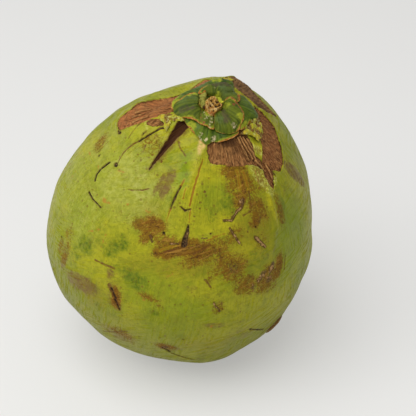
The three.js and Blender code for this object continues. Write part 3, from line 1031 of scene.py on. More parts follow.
def dress(nodes, shader, colour, roughness, shine, height, depth, strength):
    """Gives a shader its colour, roughness, shine, and a bump `depth` millimetres deep."""
    bump = nodes.add("Bump", {"Height": height, "Distance": depth * MM, "Strength": strength})
    looks = {"Base Color": colour, "Roughness": roughness, "Specular IOR Level": shine,
             "Normal": bump.outputs["Normal"]}
    for name, value in looks.items():
        nodes.join(value, shader.inputs[name])


effects = {}


def new_effect(name, inputs):
    """An empty node group with named inputs, at their usual values, and a mask to put out."""
    tree = bpy.data.node_groups.new(name, "ShaderNodeTree")
    for label, usual in inputs.items():
        socket = tree.interface.new_socket(label, in_out="INPUT", socket_type="NodeSocketFloat")
        socket.default_value = usual
    tree.interface.new_socket("Mask", in_out="OUTPUT", socket_type="NodeSocketFloat")
    effects[name] = tree
    nodes = Nodes(tree)
    given = tree.nodes.new("NodeGroupInput").outputs
    result = tree.nodes.new("NodeGroupOutput").inputs["Mask"]
    return nodes, given, result


# %% [markdown]
# ## Shared effects
# A few effects come back in several finishes, so each is a node group. Grain runs down from
# the crown, as fibres and veins do: its noise is read on a circle round the fruit's axis, so
# it has no seam. Netting has the same axis, but its cells are closed, and scuffs are streaks
# at a slant. Patches and flecks break a soft region up, threads are fine wiggly lines, dots
# are small round specks, and a ragged edge turns a stored distance into a mask with an uneven
# rim.


# %% Grain along the fruit
def ring_place(nodes, given):
    """A place on a circle round the fruit's axis and along it, scaled by Across and Along."""
    turn = Matrix((east, north, pole)).transposed().to_euler()
    local = nodes.add("Mapping", {
        "Vector": nodes.here(), "Location": centre, "Rotation": turn,
    }, vector_type="TEXTURE")
    parts = nodes.add("SeparateXYZ", {0: local.outputs[0]}).outputs
    flat = nodes.add("CombineXYZ", {0: parts[0], 1: parts[1]}).outputs[0]
    ring = nodes.add("VectorMath", {0: flat}, operation="NORMALIZE").outputs[0]
    around = nodes.add("SeparateXYZ", {0: ring}).outputs
    return nodes.add("CombineXYZ", {
        0: nodes.times(around[0], given["Across"]),
        1: nodes.times(around[1], given["Across"]),
        2: nodes.times(parts[2], given["Along"]),
    }).outputs[0]


def make_grain():
    inputs = {"Across": 60.0, "Along": 60.0, "Detail": 2.0, "Low": 0.4, "High": 0.6}
    nodes, given, result = new_effect("fruit_grain", inputs)
    grain = nodes.noise(ring_place(nodes, given), 1.0, given["Detail"], 0.6)
    nodes.join(nodes.step(grain, given["Low"], given["High"]), result)


def make_netting():
    """Closed cells: 0 on the net, 1 inside a cell."""
    inputs = {"Across": 60.0, "Along": 400.0, "Low": 0.05, "High": 0.2}
    nodes, given, result = new_effect("netting", inputs)
    place = ring_place(nodes, given)
    shake = nodes.add("TexNoise", {"Vector": place, "Scale": 0.7, "Detail": 2.0}).outputs["Color"]
    shaken = nodes.add("VectorMath", {0: place, 1: shake}, operation="ADD").outputs[0]
    cells = nodes.add("TexVoronoi", {"Vector": shaken, "Scale": 1.0}, feature="DISTANCE_TO_EDGE")
    gap = cells.outputs["Distance"]
    nodes.join(nodes.step(gap, given["Low"], given["High"]), result)


def make_scuffs():
    """Streaks at a slant, seen from the front: `Turn` in radians, `Long` and `Fine` per metre."""
    inputs = {"Long": 80.0, "Fine": 700.0, "Turn": 0.0, "Low": 0.5, "High": 0.6}
    nodes, given, result = new_effect("scuffs", inputs)
    slant = nodes.add("CombineXYZ", {1: given["Turn"]}).outputs[0]
    size = nodes.add("CombineXYZ", {0: given["Long"], 1: given["Long"], 2: given["Fine"]})
    turned = nodes.add("VectorRotate", {"Vector": nodes.here(), "Rotation": slant},
                       rotation_type="EULER_XYZ", invert=True)
    spot = nodes.add("VectorMath", {0: turned.outputs[0], 1: size.outputs[0]},
                     operation="MULTIPLY").outputs[0]
    streak = nodes.noise(spot, 1.0, 3.0, 0.5, 0.4)
    nodes.join(nodes.step(streak, given["Low"], given["High"]), result)


def make_patches():
    inputs = {"Scale": 100.0, "Detail": 4.0, "Distortion": 0.0, "Low": 0.45, "High": 0.6}
    nodes, given, result = new_effect("patches", inputs)
    cloud = nodes.noise(nodes.here(), given["Scale"], given["Detail"], 0.6, given["Distortion"])
    nodes.join(nodes.step(cloud, given["Low"], given["High"]), result)


def make_flecks():
    """A region's weight, broken up into flecks: the stronger it is, the more they cover."""
    inputs = {
        "Weight": 0.0, "Scale": 300.0, "Distortion": 1.0, "Cover": 0.5, "Sharpness": 0.1,
        "Fade": 0.25,
    }
    nodes, given, result = new_effect("flecks", inputs)
    cloud = nodes.noise(nodes.here(), given["Scale"], 6.0, 0.68, given["Distortion"])
    level = nodes.times(given["Weight"], given["Cover"])
    raised = nodes.plus(cloud, nodes.minus(level, 0.68))
    mask = nodes.step(raised, 0.0, given["Sharpness"])
    shown = nodes.step(given["Weight"], 0.0, given["Fade"])
    nodes.join(nodes.times(mask, shown), result)


def make_threads():
    """Fine wiggly lines, wherever a noise crosses its middle value."""
    inputs = {"Scale": 200.0, "Detail": 3.0, "Distortion": 1.0, "Width": 0.02}
    nodes, given, result = new_effect("threads", inputs)
    cloud = nodes.noise(nodes.here(), given["Scale"], given["Detail"], 0.6, given["Distortion"])
    gap = nodes.math("ABSOLUTE", nodes.minus(cloud, 0.5))
    nodes.join(nodes.step(gap, given["Width"], 0.0), result)


def make_dots():
    """Round specks; `Amount` is the part of the cells that hold one."""
    inputs = {"Scale": 250.0, "Amount": 0.2, "Radius": 0.3}
    nodes, given, result = new_effect("dots", inputs)
    cells = nodes.add("TexVoronoi", {"Vector": nodes.here(), "Scale": given["Scale"]})
    inside = nodes.math("LESS_THAN", cells.outputs["Distance"], given["Radius"])
    luck = nodes.add("SeparateColor", {0: cells.outputs["Color"]}).outputs[0]
    chosen = nodes.math("LESS_THAN", luck, given["Amount"])
    nodes.join(nodes.times(inside, chosen), result)


def make_ragged_edge():
    """A field in millimetres, shaken and cut at its edge."""
    inputs = {"Field": 0.0, "Raggedness": 0.3, "Scale": 500.0, "Softness": 0.25}
    nodes, given, result = new_effect("ragged_edge", inputs)
    cloud = nodes.noise(nodes.here(), given["Scale"], 3.0, 0.6)
    shake = nodes.times(nodes.minus(cloud, 0.5), given["Raggedness"])
    shaken = nodes.plus(given["Field"], nodes.times(shake, 2.0))
    low = nodes.times(given["Softness"], -1.0)
    nodes.join(nodes.step(shaken, low, given["Softness"]), result)


for make_effect in (
    make_grain, make_netting, make_scuffs, make_patches, make_flecks, make_threads, make_dots,
    make_ragged_edge,
):
    make_effect()
print("shared effects:", list(effects))

# %% [markdown]
# ## The skin's finish
# The skin is a satin yellow-green, clouded with deeper and with yellower green, and finely
# streaked down from the crown. It is palest on the left, where a waxy bloom and a painted
# sheen and highlight lie, and it is darkened towards the lower end by painted shade. Over that
# come, in the order in which they happened: soft smudges, some of which are painted shade, and
# stains, corky mottling, grazes, scratches and slits, and at last the torn patches with their
# brown fibre, darkened by painted shade under the calyx and in the gouge. Each layer is a
# colour and a mask, laid over what is below.

# %% Colours of the skin
LIME = rgb(0.340, 0.325, 0.009)
LEAF_GREEN = rgb(0.240, 0.270, 0.006)
DEEP_GREEN = rgb(0.150, 0.175, 0.003)
LOW_SHADE_GREEN = rgb(0.150, 0.152, 0.006)
SUNNED_AND_HIGHLIGHT = rgb(0.450, 0.400, 0.010)
OLIVE = rgb(0.250, 0.205, 0.008)
FRESH_GREEN = rgb(0.180, 0.255, 0.004)
BLOOM_AND_SHEEN_PALE = rgb(0.410, 0.410, 0.080)
SMUDGE_AND_SHADE_GREEN = rgb(0.085, 0.130, 0.002)
THREAD_BROWN = rgb(0.160, 0.095, 0.008)
STAIN_BROWN = rgb(0.155, 0.082, 0.020)
SCAB_FILM = rgb(0.300, 0.180, 0.004)
SCAB_BROWN = rgb(0.165, 0.066, 0.004)
SCAB_DARK = rgb(0.070, 0.025, 0.003)
CORK = rgb(0.420, 0.250, 0.095)
CORK_DARK = rgb(0.080, 0.035, 0.010)
FRAY_PALE = rgb(0.540, 0.530, 0.110)
GRAZE_ORANGE = rgb(0.360, 0.150, 0.016)
WEAL_TAN = rgb(0.420, 0.220, 0.035)
VEIN_BROWN = rgb(0.240, 0.090, 0.004)
SCRATCH_BROWN = rgb(0.125, 0.048, 0.008)
SLIT_BLACK = rgb(0.018, 0.009, 0.004)
SLIT_BROWN = rgb(0.095, 0.048, 0.018)
FLANK_KHAKI_AND_SHADE = rgb(0.190, 0.130, 0.014)
TAN = rgb(0.640, 0.420, 0.140)
FIBRE_PALE = rgb(0.620, 0.315, 0.100)
FIBRE_BROWN = rgb(0.320, 0.122, 0.034)
FIBRE_RED = rgb(0.470, 0.125, 0.034)
FIBRE_GREY = rgb(0.190, 0.110, 0.048)
FIBRE_DARK = rgb(0.060, 0.020, 0.004)
GOUGE_DARK = rgb(0.034, 0.010, 0.002)


# %% Green skin
def green_skin(nodes):
    """The colour of the sound skin, with its clouds, streaks and specks."""
    broad = nodes.group("patches", Scale=30.0, Detail=3.0, Low=0.40, High=0.60)
    cloud = nodes.group("patches", Scale=95.0, Detail=5.0, Distortion=0.6, Low=0.50, High=0.70)
    mottle = nodes.group("patches", Scale=430.0, Detail=5.0, Distortion=0.6, Low=0.42, High=0.62)
    streak = nodes.group("fruit_grain", Across=34.0, Along=22.0, Detail=4.0, Low=0.42, High=0.66)
    fine = nodes.group("fruit_grain", Across=110.0, Along=240.0, Detail=4.0, Low=0.45, High=0.62)
    chalk = nodes.group("patches", Scale=260.0, Detail=5.0, Distortion=0.4, Low=0.42, High=0.66)
    colour = nodes.mix(broad, LEAF_GREEN, LIME)
    # painted shade towards the lower end
    low = nodes.times(nodes.field("shade"), 0.85)
    colour = nodes.mix(low, colour, LOW_SHADE_GREEN)
    colour = nodes.lay(colour, DEEP_GREEN, cloud, 0.55)
    colour = nodes.lay(colour, LIME, streak, 0.35)
    colour = nodes.lay(colour, FRESH_GREEN, nodes.field("leaf"), 0.75)
    colour = nodes.lay(colour, OLIVE, nodes.field("olive"), 0.75)
    # painted sheen and highlight, with some pale waxy bloom: the skin is lightened towards a pale
    # colour
    bloom_and_sheen = nodes.times(nodes.field("bloom_and_sheen"), nodes.plus(0.25, nodes.times(chalk, 0.40)))
    colour = nodes.mix(bloom_and_sheen, colour, BLOOM_AND_SHEEN_PALE)
    # yellower skin, and a painted highlight along the standing fold on the right
    sunned_and_highlight = nodes.times(nodes.field("sun_and_highlight"), 0.7)
    colour = nodes.mix(sunned_and_highlight, colour, SUNNED_AND_HIGHLIGHT)
    colour = nodes.lay(colour, DEEP_GREEN, mottle, 0.38)
    colour = nodes.lay(colour, DEEP_GREEN, fine, 0.13)
    # darker green smudges, in part painted shade right of the fold on the right
    smudge_and_shade = nodes.group("flecks", Weight=nodes.field("smudge_and_shade"), Scale=170.0, Distortion=0.9,
                         Cover=0.42, Sharpness=0.42, Fade=1.2)
    smudge_and_shade = nodes.times(smudge_and_shade, nodes.plus(0.65, nodes.times(mottle, 0.40)))
    colour = nodes.mix(smudge_and_shade, colour, SMUDGE_AND_SHADE_GREEN)
    stain = nodes.group("flecks", Weight=nodes.field("stain"), Scale=230.0, Distortion=0.9,
                        Cover=0.44, Sharpness=0.34, Fade=1.1)
    stain = nodes.times(stain, nodes.plus(0.62, nodes.times(mottle, 0.30)))
    colour = nodes.mix(stain, colour, STAIN_BROWN)
    worn = nodes.group("patches", Scale=95.0, Detail=3.0, Distortion=0.5, Low=0.44, High=0.64)
    thread = nodes.group("threads", Scale=150.0, Detail=3.0, Distortion=1.6, Width=0.017)
    thread = nodes.times(nodes.times(thread, worn), 0.62)
    colour = nodes.mix(thread, colour, THREAD_BROWN)
    speck = nodes.group("dots", Scale=300.0, Amount=0.13, Radius=0.24)
    small = nodes.group("dots", Scale=600.0, Amount=0.16, Radius=0.32)
    colour = nodes.lay(colour, THREAD_BROWN, small, 0.45)
    return nodes.lay(colour, SCRATCH_BROWN, speck, 0.50)


# %% Corky mottling
def mottled_skin(nodes, colour):
    """Lays the mottling, cork, dead tissue and the tan place over the green; with its crust."""
    scab, fray = nodes.field("scab"), nodes.field("fray")
    film = nodes.group("flecks", Weight=scab, Scale=260.0, Distortion=1.2,
                       Cover=0.40, Sharpness=0.36, Fade=1.3)
    blot = nodes.group("flecks", Weight=scab, Scale=420.0, Distortion=1.6,
                       Cover=0.28, Sharpness=0.12, Fade=0.6)
    dark = nodes.group("flecks", Weight=scab, Scale=620.0, Distortion=1.2,
                       Cover=0.16, Sharpness=0.10, Fade=0.6)
    scuff = nodes.group("scuffs", Long=75.0, Fine=640.0, Turn=-0.30, Low=0.50, High=0.60)
    shine = nodes.group("scuffs", Long=95.0, Fine=760.0, Turn=-0.26, Low=0.58, High=0.66)
    down = nodes.group("fruit_grain", Across=52.0, Along=110.0, Detail=4.0, Low=0.50, High=0.60)
    either = nodes.group("patches", Scale=34.0, Detail=1.0, Low=0.46, High=0.54)
    streak = nodes.plus(nodes.times(scuff, either), nodes.times(down, nodes.minus(1.0, either)))
    wiggle = nodes.group("threads", Scale=260.0, Detail=2.0, Distortion=1.8, Width=0.035)
    wiggle = nodes.times(wiggle, nodes.step(scab, 0.08, 0.6, 0.60))
    cork = nodes.group("flecks", Weight=nodes.field("cork"), Scale=420.0, Distortion=1.2,
                       Cover=0.25, Sharpness=0.12)
    around = nodes.group("flecks", Weight=nodes.field("cork"), Scale=300.0, Distortion=1.0,
                         Cover=0.50, Sharpness=0.20)
    colour = nodes.lay(colour, SCAB_FILM, film, 0.80)
    colour = nodes.mix(wiggle, colour, SCAB_BROWN)
    colour = nodes.lay(colour, SCAB_BROWN, blot, 0.72)
    colour = nodes.mix(nodes.times(streak, nodes.times(film, 0.70)), colour, SCAB_BROWN)
    colour = nodes.lay(colour, SCAB_DARK, dark, 0.85)
    colour = nodes.mix(nodes.times(shine, nodes.times(film, 0.55)), colour, WEAL_TAN)
    colour = nodes.lay(colour, CORK_DARK, around, 0.80)
    colour = nodes.lay(colour, CORK, cork, 0.95)
    net = nodes.group("netting", Across=70.0, Along=620.0, Low=0.05, High=0.16)
    tissue = nodes.times(nodes.step(fray, 0.15, 0.8), nodes.minus(1.0, net))
    spots = nodes.group("flecks", Weight=fray, Scale=430.0, Distortion=1.0,
                        Cover=0.20, Sharpness=0.10)
    colour = nodes.lay(colour, FRAY_PALE, tissue, 0.85)
    colour = nodes.lay(colour, SCAB_BROWN, spots, 0.55)
    tan = nodes.group("patches", Scale=220.0, Detail=3.0, Low=0.20, High=0.50)
    tan = nodes.times(nodes.step(nodes.field("tan"), 0.20, 0.95), tan)
    colour = nodes.lay(colour, TAN, tan, 0.95)
    return colour, nodes.highest(nodes.highest(blot, cork), streak)


# %% Lines
def lined_skin(nodes, colour):
    """Lays the lines over the skin, the faintest first, and gives a mask of the dark ones."""
    breaks = nodes.noise(nodes.here(), 420.0, 4.0, 0.65)
    gap = nodes.times(nodes.minus(breaks, 0.56), 4.5)
    # the khaki slope beside the gouge, partly painted shade on its bank
    flank_and_shade = nodes.step(nodes.field("flank_and_shade"), -1.4, 1.0, 0.9)
    flank_and_shade = nodes.times(flank_and_shade, nodes.group("patches", Scale=330.0, Low=0.30, High=0.62))
    colour = nodes.mix(flank_and_shade, colour, FLANK_KHAKI_AND_SHADE)
    broken = nodes.plus(nodes.field("graze"), gap)
    graze = nodes.group("ragged_edge", Field=broken, Raggedness=0.45)
    colour = nodes.lay(colour, GRAZE_ORANGE, graze, 0.65)
    halo = nodes.step(nodes.field("vein"), -1.2, 0.3, 0.35)
    colour = nodes.mix(halo, colour, SUNNED_AND_HIGHLIGHT)
    vein = nodes.group("ragged_edge", Field=nodes.field("vein"), Raggedness=0.35)
    colour = nodes.lay(colour, VEIN_BROWN, vein, 0.85)
    halo = nodes.step(nodes.field("weal"), -0.9, 0.0, 0.30)
    colour = nodes.mix(halo, colour, SCAB_DARK)
    weal = nodes.group("ragged_edge", Field=nodes.field("weal"), Raggedness=0.35)
    colour = nodes.lay(colour, WEAL_TAN, weal, 0.65)
    scratch = nodes.group("ragged_edge", Field=nodes.field("scratch"), Raggedness=0.60,
                          Scale=380.0)
    fade = nodes.plus(0.50, nodes.step(breaks, 0.35, 0.6, 0.42))
    colour = nodes.lay(colour, SCRATCH_BROWN, scratch, fade)
    scar = nodes.group("ragged_edge", Field=nodes.field("scar"), Raggedness=0.8, Scale=420.0)
    colour = nodes.lay(colour, CORK_DARK, scar, 0.9)
    core = nodes.minus(nodes.field("scar"), 0.55)
    core = nodes.group("ragged_edge", Field=core, Raggedness=1.4, Scale=560.0)
    colour = nodes.lay(colour, CORK, core, 0.9)
    halo = nodes.step(nodes.field("slit"), -0.8, 0.1, 0.40)
    colour = nodes.mix(halo, colour, SCRATCH_BROWN)
    slit = nodes.group("ragged_edge", Field=nodes.field("slit"), Raggedness=0.5, Scale=420.0)
    tone = nodes.group("patches", Scale=500.0, Detail=3.0, Low=0.46, High=0.62)
    slit_colour = nodes.mix(tone, SLIT_BLACK, SLIT_BROWN)
    colour = nodes.lay(colour, slit_colour, slit, 0.95)
    flake = nodes.group("patches", Scale=620.0, Detail=3.0, Distortion=1.0, Low=0.55, High=0.62)
    inner = nodes.times(nodes.step(nodes.field("slit"), 0.35, 0.8, 0.75), flake)
    colour = nodes.mix(inner, colour, CORK)
    return colour, nodes.highest(slit, scar)


# %% Torn fibre
def torn_fibre(nodes):
    """The colour of the bare fibre and the height of its strands."""
    warmth = nodes.field("warmth")
    ridge = nodes.step(nodes.field("fibre"), 0.25, 0.85)
    furrow = nodes.step(nodes.field("fibre"), 0.20, -0.35)
    cells = nodes.group("netting", Across=52.0, Along=430.0, Low=0.04, High=0.22)
    fine = nodes.group("fruit_grain", Across=95.0, Along=160.0, Detail=4.0, Low=0.42, High=0.58)
    cloud = nodes.group("patches", Scale=130.0, Detail=4.0, Low=0.42, High=0.64)
    pits = nodes.group("fruit_grain", Across=60.0, Along=460.0, Detail=4.0, Low=0.53, High=0.64)
    smooth = nodes.step(warmth, 0.75, 0.95)
    body = nodes.mix(nodes.step(warmth, 0.5, 1.0), FIBRE_BROWN, FIBRE_RED)
    body = nodes.mix(nodes.step(warmth, 0.35, 0.0), body, FIBRE_GREY)
    colour = nodes.lay(body, FIBRE_PALE, ridge, 0.30)
    colour = nodes.lay(colour, FIBRE_PALE, fine, 0.42)
    netted = nodes.times(cells, nodes.minus(0.80, nodes.times(smooth, 0.45)))
    light = nodes.mix(0.45, colour, FIBRE_PALE)
    colour = nodes.mix(netted, light, nodes.mix(0.55, body, FIBRE_DARK))
    colour = nodes.lay(colour, body, cloud, 0.35)
    colour = nodes.lay(colour, FIBRE_DARK, furrow, 0.30)
    colour = nodes.lay(colour, FIBRE_DARK, pits, 0.72)
    beside = nodes.times(nodes.step(nodes.field("strand"), -1.0, -0.2), 0.55)
    colour = nodes.mix(beside, colour, FIBRE_DARK)
    strand = nodes.step(nodes.field("strand"), -0.2, 0.25, 0.95)
    colour = nodes.mix(strand, colour, FIBRE_PALE)
    rim = nodes.step(nodes.field("torn"), 0.9, 0.2, 0.75)
    colour = nodes.mix(nodes.times(rim, nodes.plus(0.35, cloud)), colour, FIBRE_DARK)
    # painted shade under the rim of the calyx and in the depth of the gouge
    recess_shade = nodes.group("flecks", Weight=nodes.field("recess_shade"), Scale=200.0, Distortion=0.8,
                       Cover=0.44, Sharpness=0.40, Fade=1.2)
    colour = nodes.lay(colour, FIBRE_DARK, recess_shade, 0.75)
    slit = nodes.group("ragged_edge", Field=nodes.field("slit"), Raggedness=0.45)
    colour = nodes.lay(colour, FIBRE_DARK, slit, 0.70)
    return colour, nodes.minus(fine, nodes.plus(netted, pits))


# %% The skin material
def make_skin():
    material, nodes, shader = new_material("green_skin")
    colour, crust = mottled_skin(nodes, green_skin(nodes))
    colour, dark_lines = lined_skin(nodes, colour)
    fibre_colour, strand = torn_fibre(nodes)
    gouge_edge = nodes.step(nodes.field("gouge"), -1.3, 0.1, 0.6)
    colour = nodes.mix(gouge_edge, colour, SCRATCH_BROWN)
    gouge = nodes.group("ragged_edge", Field=nodes.field("gouge"), Raggedness=0.8, Scale=380.0)
    streak = nodes.group("fruit_grain", Across=60.0, Along=90.0, Detail=4.0, Low=0.48, High=0.62)
    gouge_colour = nodes.lay(GOUGE_DARK, VEIN_BROWN, streak, 0.18)
    colour = nodes.mix(gouge, colour, gouge_colour)
    torn = nodes.group("ragged_edge", Field=nodes.field("torn"), Raggedness=0.6, Scale=420.0)
    colour = nodes.mix(torn, colour, fibre_colour)
    bare = nodes.highest(nodes.highest(torn, gouge), nodes.highest(crust, dark_lines))
    pores = nodes.noise(nodes.here(), 900.0, 3.0)
    sound = nodes.plus(0.36, nodes.step(pores, 0.3, 0.7, 0.12))
    roughness = nodes.plus(nodes.times(bare, 0.40), sound)
    roughness = nodes.math("MINIMUM", roughness, 0.9)
    skin_height = nodes.plus(nodes.times(pores, 0.10), nodes.times(crust, 0.4))
    strand_height = nodes.times(nodes.times(torn, strand), 1.5)
    height = nodes.plus(skin_height, strand_height)
    dress(nodes, shader, colour, roughness, 0.18, height, 0.35, 0.9)
    return material


skin_material = make_skin()
husk.data.materials.append(skin_material)
print("skin material:", len(skin_material.node_tree.nodes), "nodes")

# %% [markdown]
# ## The calyx
# Six leathery leaves sit on the crown like a cap: three petals on the skin, and three sepals
# over them. Two small scales lean on the stub of the stalk in the middle. Each is written
# down as an outline in the plane of the crown, in millimetres to the right and to the back of
# the pole. A leaf is made as by hand, a filled circle that is inset again and again, so that
# it has even rings from its rim to its middle. The rings are then drawn out to the outline
# and draped over whatever lies below, because a leaf grows to fit what it lies on. Solidify
# gives it its thickness, and a thin rim.

# %% Outlines of the leaves
LEAF_OUTLINES = {
    "petal_back": [
        (-24.5, -3), (-22, 4), (-15, 11), (-8, 17), (2, 24.5), (10, 26.5), (14, 23), (12, 14),
        (0, 4), (-12, -3), (-20, -6.5),
    ],
    "petal_front": [
        (-16, -11), (-13, -18), (-9, -22.5), (-5.5, -26), (-2, -28.5), (1.5, -26.5),
        (6, -26), (12, -23), (17, -18), (13, -10), (2, -7), (-8, -7),
    ],
    "petal_right": [
        (17, 14), (21, 14.5), (26, 9), (29.5, 3), (29, -3), (24, -7.5), (21, -13), (17, -16),
        (12, -9), (8, 0), (11, 8),
    ],
    "sepal_back": [
        (-9, 5), (-6, 11), (0, 16), (7, 19), (13, 17), (16.5, 11), (17, 5), (13, 1.5), (8, 3),
        (2, 4.5), (-4, 4.5),
    ],
    "sepal_left": [
        (-23, -4), (-20, 0), (-15, 4.5), (-10, 5.5), (-8.5, -1), (-4, -8.5), (1, -11),
        (2, -16), (1, -20.5), (-4, -18.5), (-11, -14.5), (-18, -11.5), (-22, -8.5),
    ],
    "sepal_front": [
        (1.5, -20.5), (1, -13), (2, -7.5), (5, -4.5), (6, 1), (9, 4), (14, 2), (18, -2),
        (19.5, -7), (18, -13), (15.5, -18.5), (9, -21.5),
    ],
    "bracteole_left": [(-8.5, -1), (-8, 3.5), (-5, 4.5), (-4, 0), (-4.5, -6), (-7.5, -4)],
    "bracteole_right": [(-0.5, 3), (2, 3.5), (5, 1), (6, -3), (4, -1.5), (1, 1.5)],
}
# How the finish changes over a leaf: a kind, its place in the plane, and its radius.
LEAF_TINTS = {
    "petal_back": [
        ("yellow", (-22, 0), 5), ("yellow", (-22, 5), 4), ("teal_sheen", (-9, 13), 9),
        ("teal_sheen", (0, 19), 8), ("teal_sheen", (-17, 8), 5), ("dry", (-24, -3), 4), ("dry", (6, 25), 5),
        ("yellow", (3, 22), 4),
    ],
    "petal_front": [
        ("yellow", (-12, -17), 4), ("crust", (-6, -23), 2.4), ("crust", (-5, -26), 1.8),
        ("crust", (-2.6, -25.8), 1.5), ("crust", (1.7, -25), 2.2), ("dry", (9, -23), 5),
        ("dry", (14, -20), 5), ("dry", (-12, -19), 3), ("teal_sheen", (-9, -17), 3),
        ("teal_sheen", (6, -22), 3),
    ],
    "petal_right": [
        ("yellow", (18, -14.6), 3), ("yellow", (19.5, -12), 3), ("yellow", (20.8, -10), 2.5),
        ("teal_sheen", (24, 10), 7), ("teal_sheen", (27, 4), 5),
        ("crust", (30, 1), 2), ("dry", (24, -7), 4), ("dry", (19, -14), 3), ("dry", (18, 15), 3),
    ],
    "sepal_back": [
        ("worn", (1, 13), 3), ("worn", (5.4, 15), 3.5), ("worn", (8.4, 16.6), 3.5),
        ("dry", (-6, 10), 5), ("dry", (-8, 5), 4), ("red", (15.8, 8), 1.5), ("red", (16, 5), 1.5),
        ("dry", (17, 8), 5), ("teal_sheen", (7, 13), 7), ("yellow", (3, 6), 2.5), ("crust", (1, 10), 1),
    ],
    "sepal_left": [
        ("worn", (-18, -7.4), 2.4), ("worn", (-15.5, -7), 3), ("worn", (-12, -7), 2.8),
        ("yellow", (-14, 3), 2), ("yellow", (-11.6, 4.4), 2.2), ("yellow", (-9.8, 4), 2),
        ("dry", (-14, 5), 4), ("dry", (-19, 1), 4), ("dry", (-8, 0), 4), ("dry", (-10, -14), 7),
        ("dry", (-3, -19), 6), ("crust", (0.2, -14), 2.2), ("crust", (-4.6, -11), 1.6),
        ("crust", (-2, -12), 1.4), ("crust", (-1, -16), 1.8), ("crust", (-1.9, -18.4), 1.8),
        ("crust", (-4, -14.4), 1.4), ("yellow", (-3, -10.6), 2.5), ("teal_sheen", (-15, -3), 6),
        ("dark", (-6.4, -4.8), 0.9), ("dark", (-5.4, -6.6), 0.9), ("dark", (-4.2, -8.4), 0.9),
        ("dark", (-3, -9.8), 0.8), ("red", (-7, -7), 1), ("red", (-7, -9), 1),
        ("red", (-6.9, -11), 1), ("red", (-6.6, -13), 1), ("red", (-6, -15), 1),
        ("red", (-5, -16.8), 1),
    ],
    "sepal_front": [
        ("worn", (6.5, -6.7), 2.4), ("worn", (7.4, -10.3), 3.2), ("worn", (8.4, -14), 3),
        ("red", (9, 3.6), 1.4), ("red", (11.5, 2.8), 1.4), ("red", (14.4, 0.4), 1.5),
        ("red", (16.4, -2), 1.5), ("red", (18, -4.4), 1.5), ("red", (12.6, -1.6), 1.5),
        ("crust", (12.2, -16.4), 1.7), ("crust", (13.6, -15.6), 1.2), ("dry", (14, 2), 5),
        ("dry", (18.5, -3), 5), ("dry", (19, -9), 5), ("dry", (9, 3.5), 3), ("yellow", (17.5, -9), 3),
        ("yellow", (8.5, -2), 3), ("teal_sheen", (4, -14), 3),
        ("dry", (17, -16), 3),
    ],
    "bracteole_left": [("dry", (-6.5, 4.4), 1.5), ("dark", (-4.5, -5.5), 1.5)],
    "bracteole_right": [("dark", (2, 0.4), 0.8)],
}
TINT_KINDS = ("yellow", "teal_sheen", "dry", "worn", "crust", "red", "dark")

# %% A ringed disc
RINGS = 16
AROUND = 120


def ringed_disc(name, rings=RINGS, around=AROUND):
    """A filled circle that is inset again and again, with its middle poked to a fan."""
    start_clean()
    bpy.ops.mesh.primitive_circle_add(vertices=around, radius=1, fill_type="NGON")
    disc = bpy.context.object
    disc.name = name
    bpy.ops.object.mode_set(mode="EDIT")
    bpy.ops.mesh.select_mode(type="FACE")
    bpy.ops.mesh.select_all(action="SELECT")
    for _ in range(rings - 1):
        bpy.ops.mesh.inset(thickness=1 / rings)
    bpy.ops.mesh.poke()
    bpy.ops.object.mode_set(mode="OBJECT")
    return disc


def rings_of(disc, rings=RINGS, around=AROUND):
    """Which ring, from 0 at the rim, and which spoke each point of a ringed disc is on."""
    x, y, _ = read_points(disc).T
    ring = np.rint((1 - np.hypot(x, y)) * rings).astype(int)
    spoke = np.rint(np.arctan2(y, x) / (2 * math.pi) * around).astype(int) % around
    return ring, spoke


# %% Draw the rings out to an outline
OUTLINE_STEPS = 24      # points between two corners, before they are spaced evenly


def even_outline(outline, count):
    """`count` evenly spaced points along a smooth closed line through an outline's corners."""
    corners = np.array(outline, float)
    line = []
    for i in range(len(corners)):
        four = (corners[(i + k) % len(corners)] for k in (-1, 0, 1, 2))
        line.append(smooth_stretch(*four, OUTLINE_STEPS))
    line = np.vstack(line + [corners[:1]])
    length = np.append(0, np.cumsum(np.linalg.norm(np.diff(line, axis=0), axis=1)))
    at = np.arange(count) / count * length[-1]
    return np.stack([np.interp(at, length, line[:, k]) for k in (0, 1)], axis=1)


def ragged(edge, seed, amount):
    """An outline whose edge is nibbled: moved in and out by two sizes of noise."""
    middle = edge.mean(axis=0)
    outward = (edge - middle) / np.linalg.norm(edge - middle, axis=1, keepdims=True)
    nibble = [
        noise.noise((x / 2.6, y / 2.6, seed)) + 0.6 * noise.noise((x / 0.9, y / 0.9, seed + 5))
        for x, y in edge
    ]
    return edge + outward * np.array(nibble)[:, None] * amount


# %% Drape a sheet over a place
surfaces = [tree]


class Bench:
    """A flat place to work, over the skin: millimetres across, up and outwards from a point."""

    def __init__(self, origin, across, up, out):
        self.origin, self.across, self.up, self.out = origin, across, up, out

    def place(self, x, y, height):
        return self.origin + (self.across * x + self.up * y + self.out * height) * MM

    def floor(self, x, y, beds=None):
        """How high the skin, or the highest of the first leaves, stands under a point."""
        start = self.place(x, y, 40)
        hits = [surface.ray_cast(start, -self.out)[0] for surface in surfaces[:beds]]
        return max((hit - self.origin).dot(self.out) for hit in hits if hit) / MM


crown = Bench(skin_point(0, 90), east, north, pole)


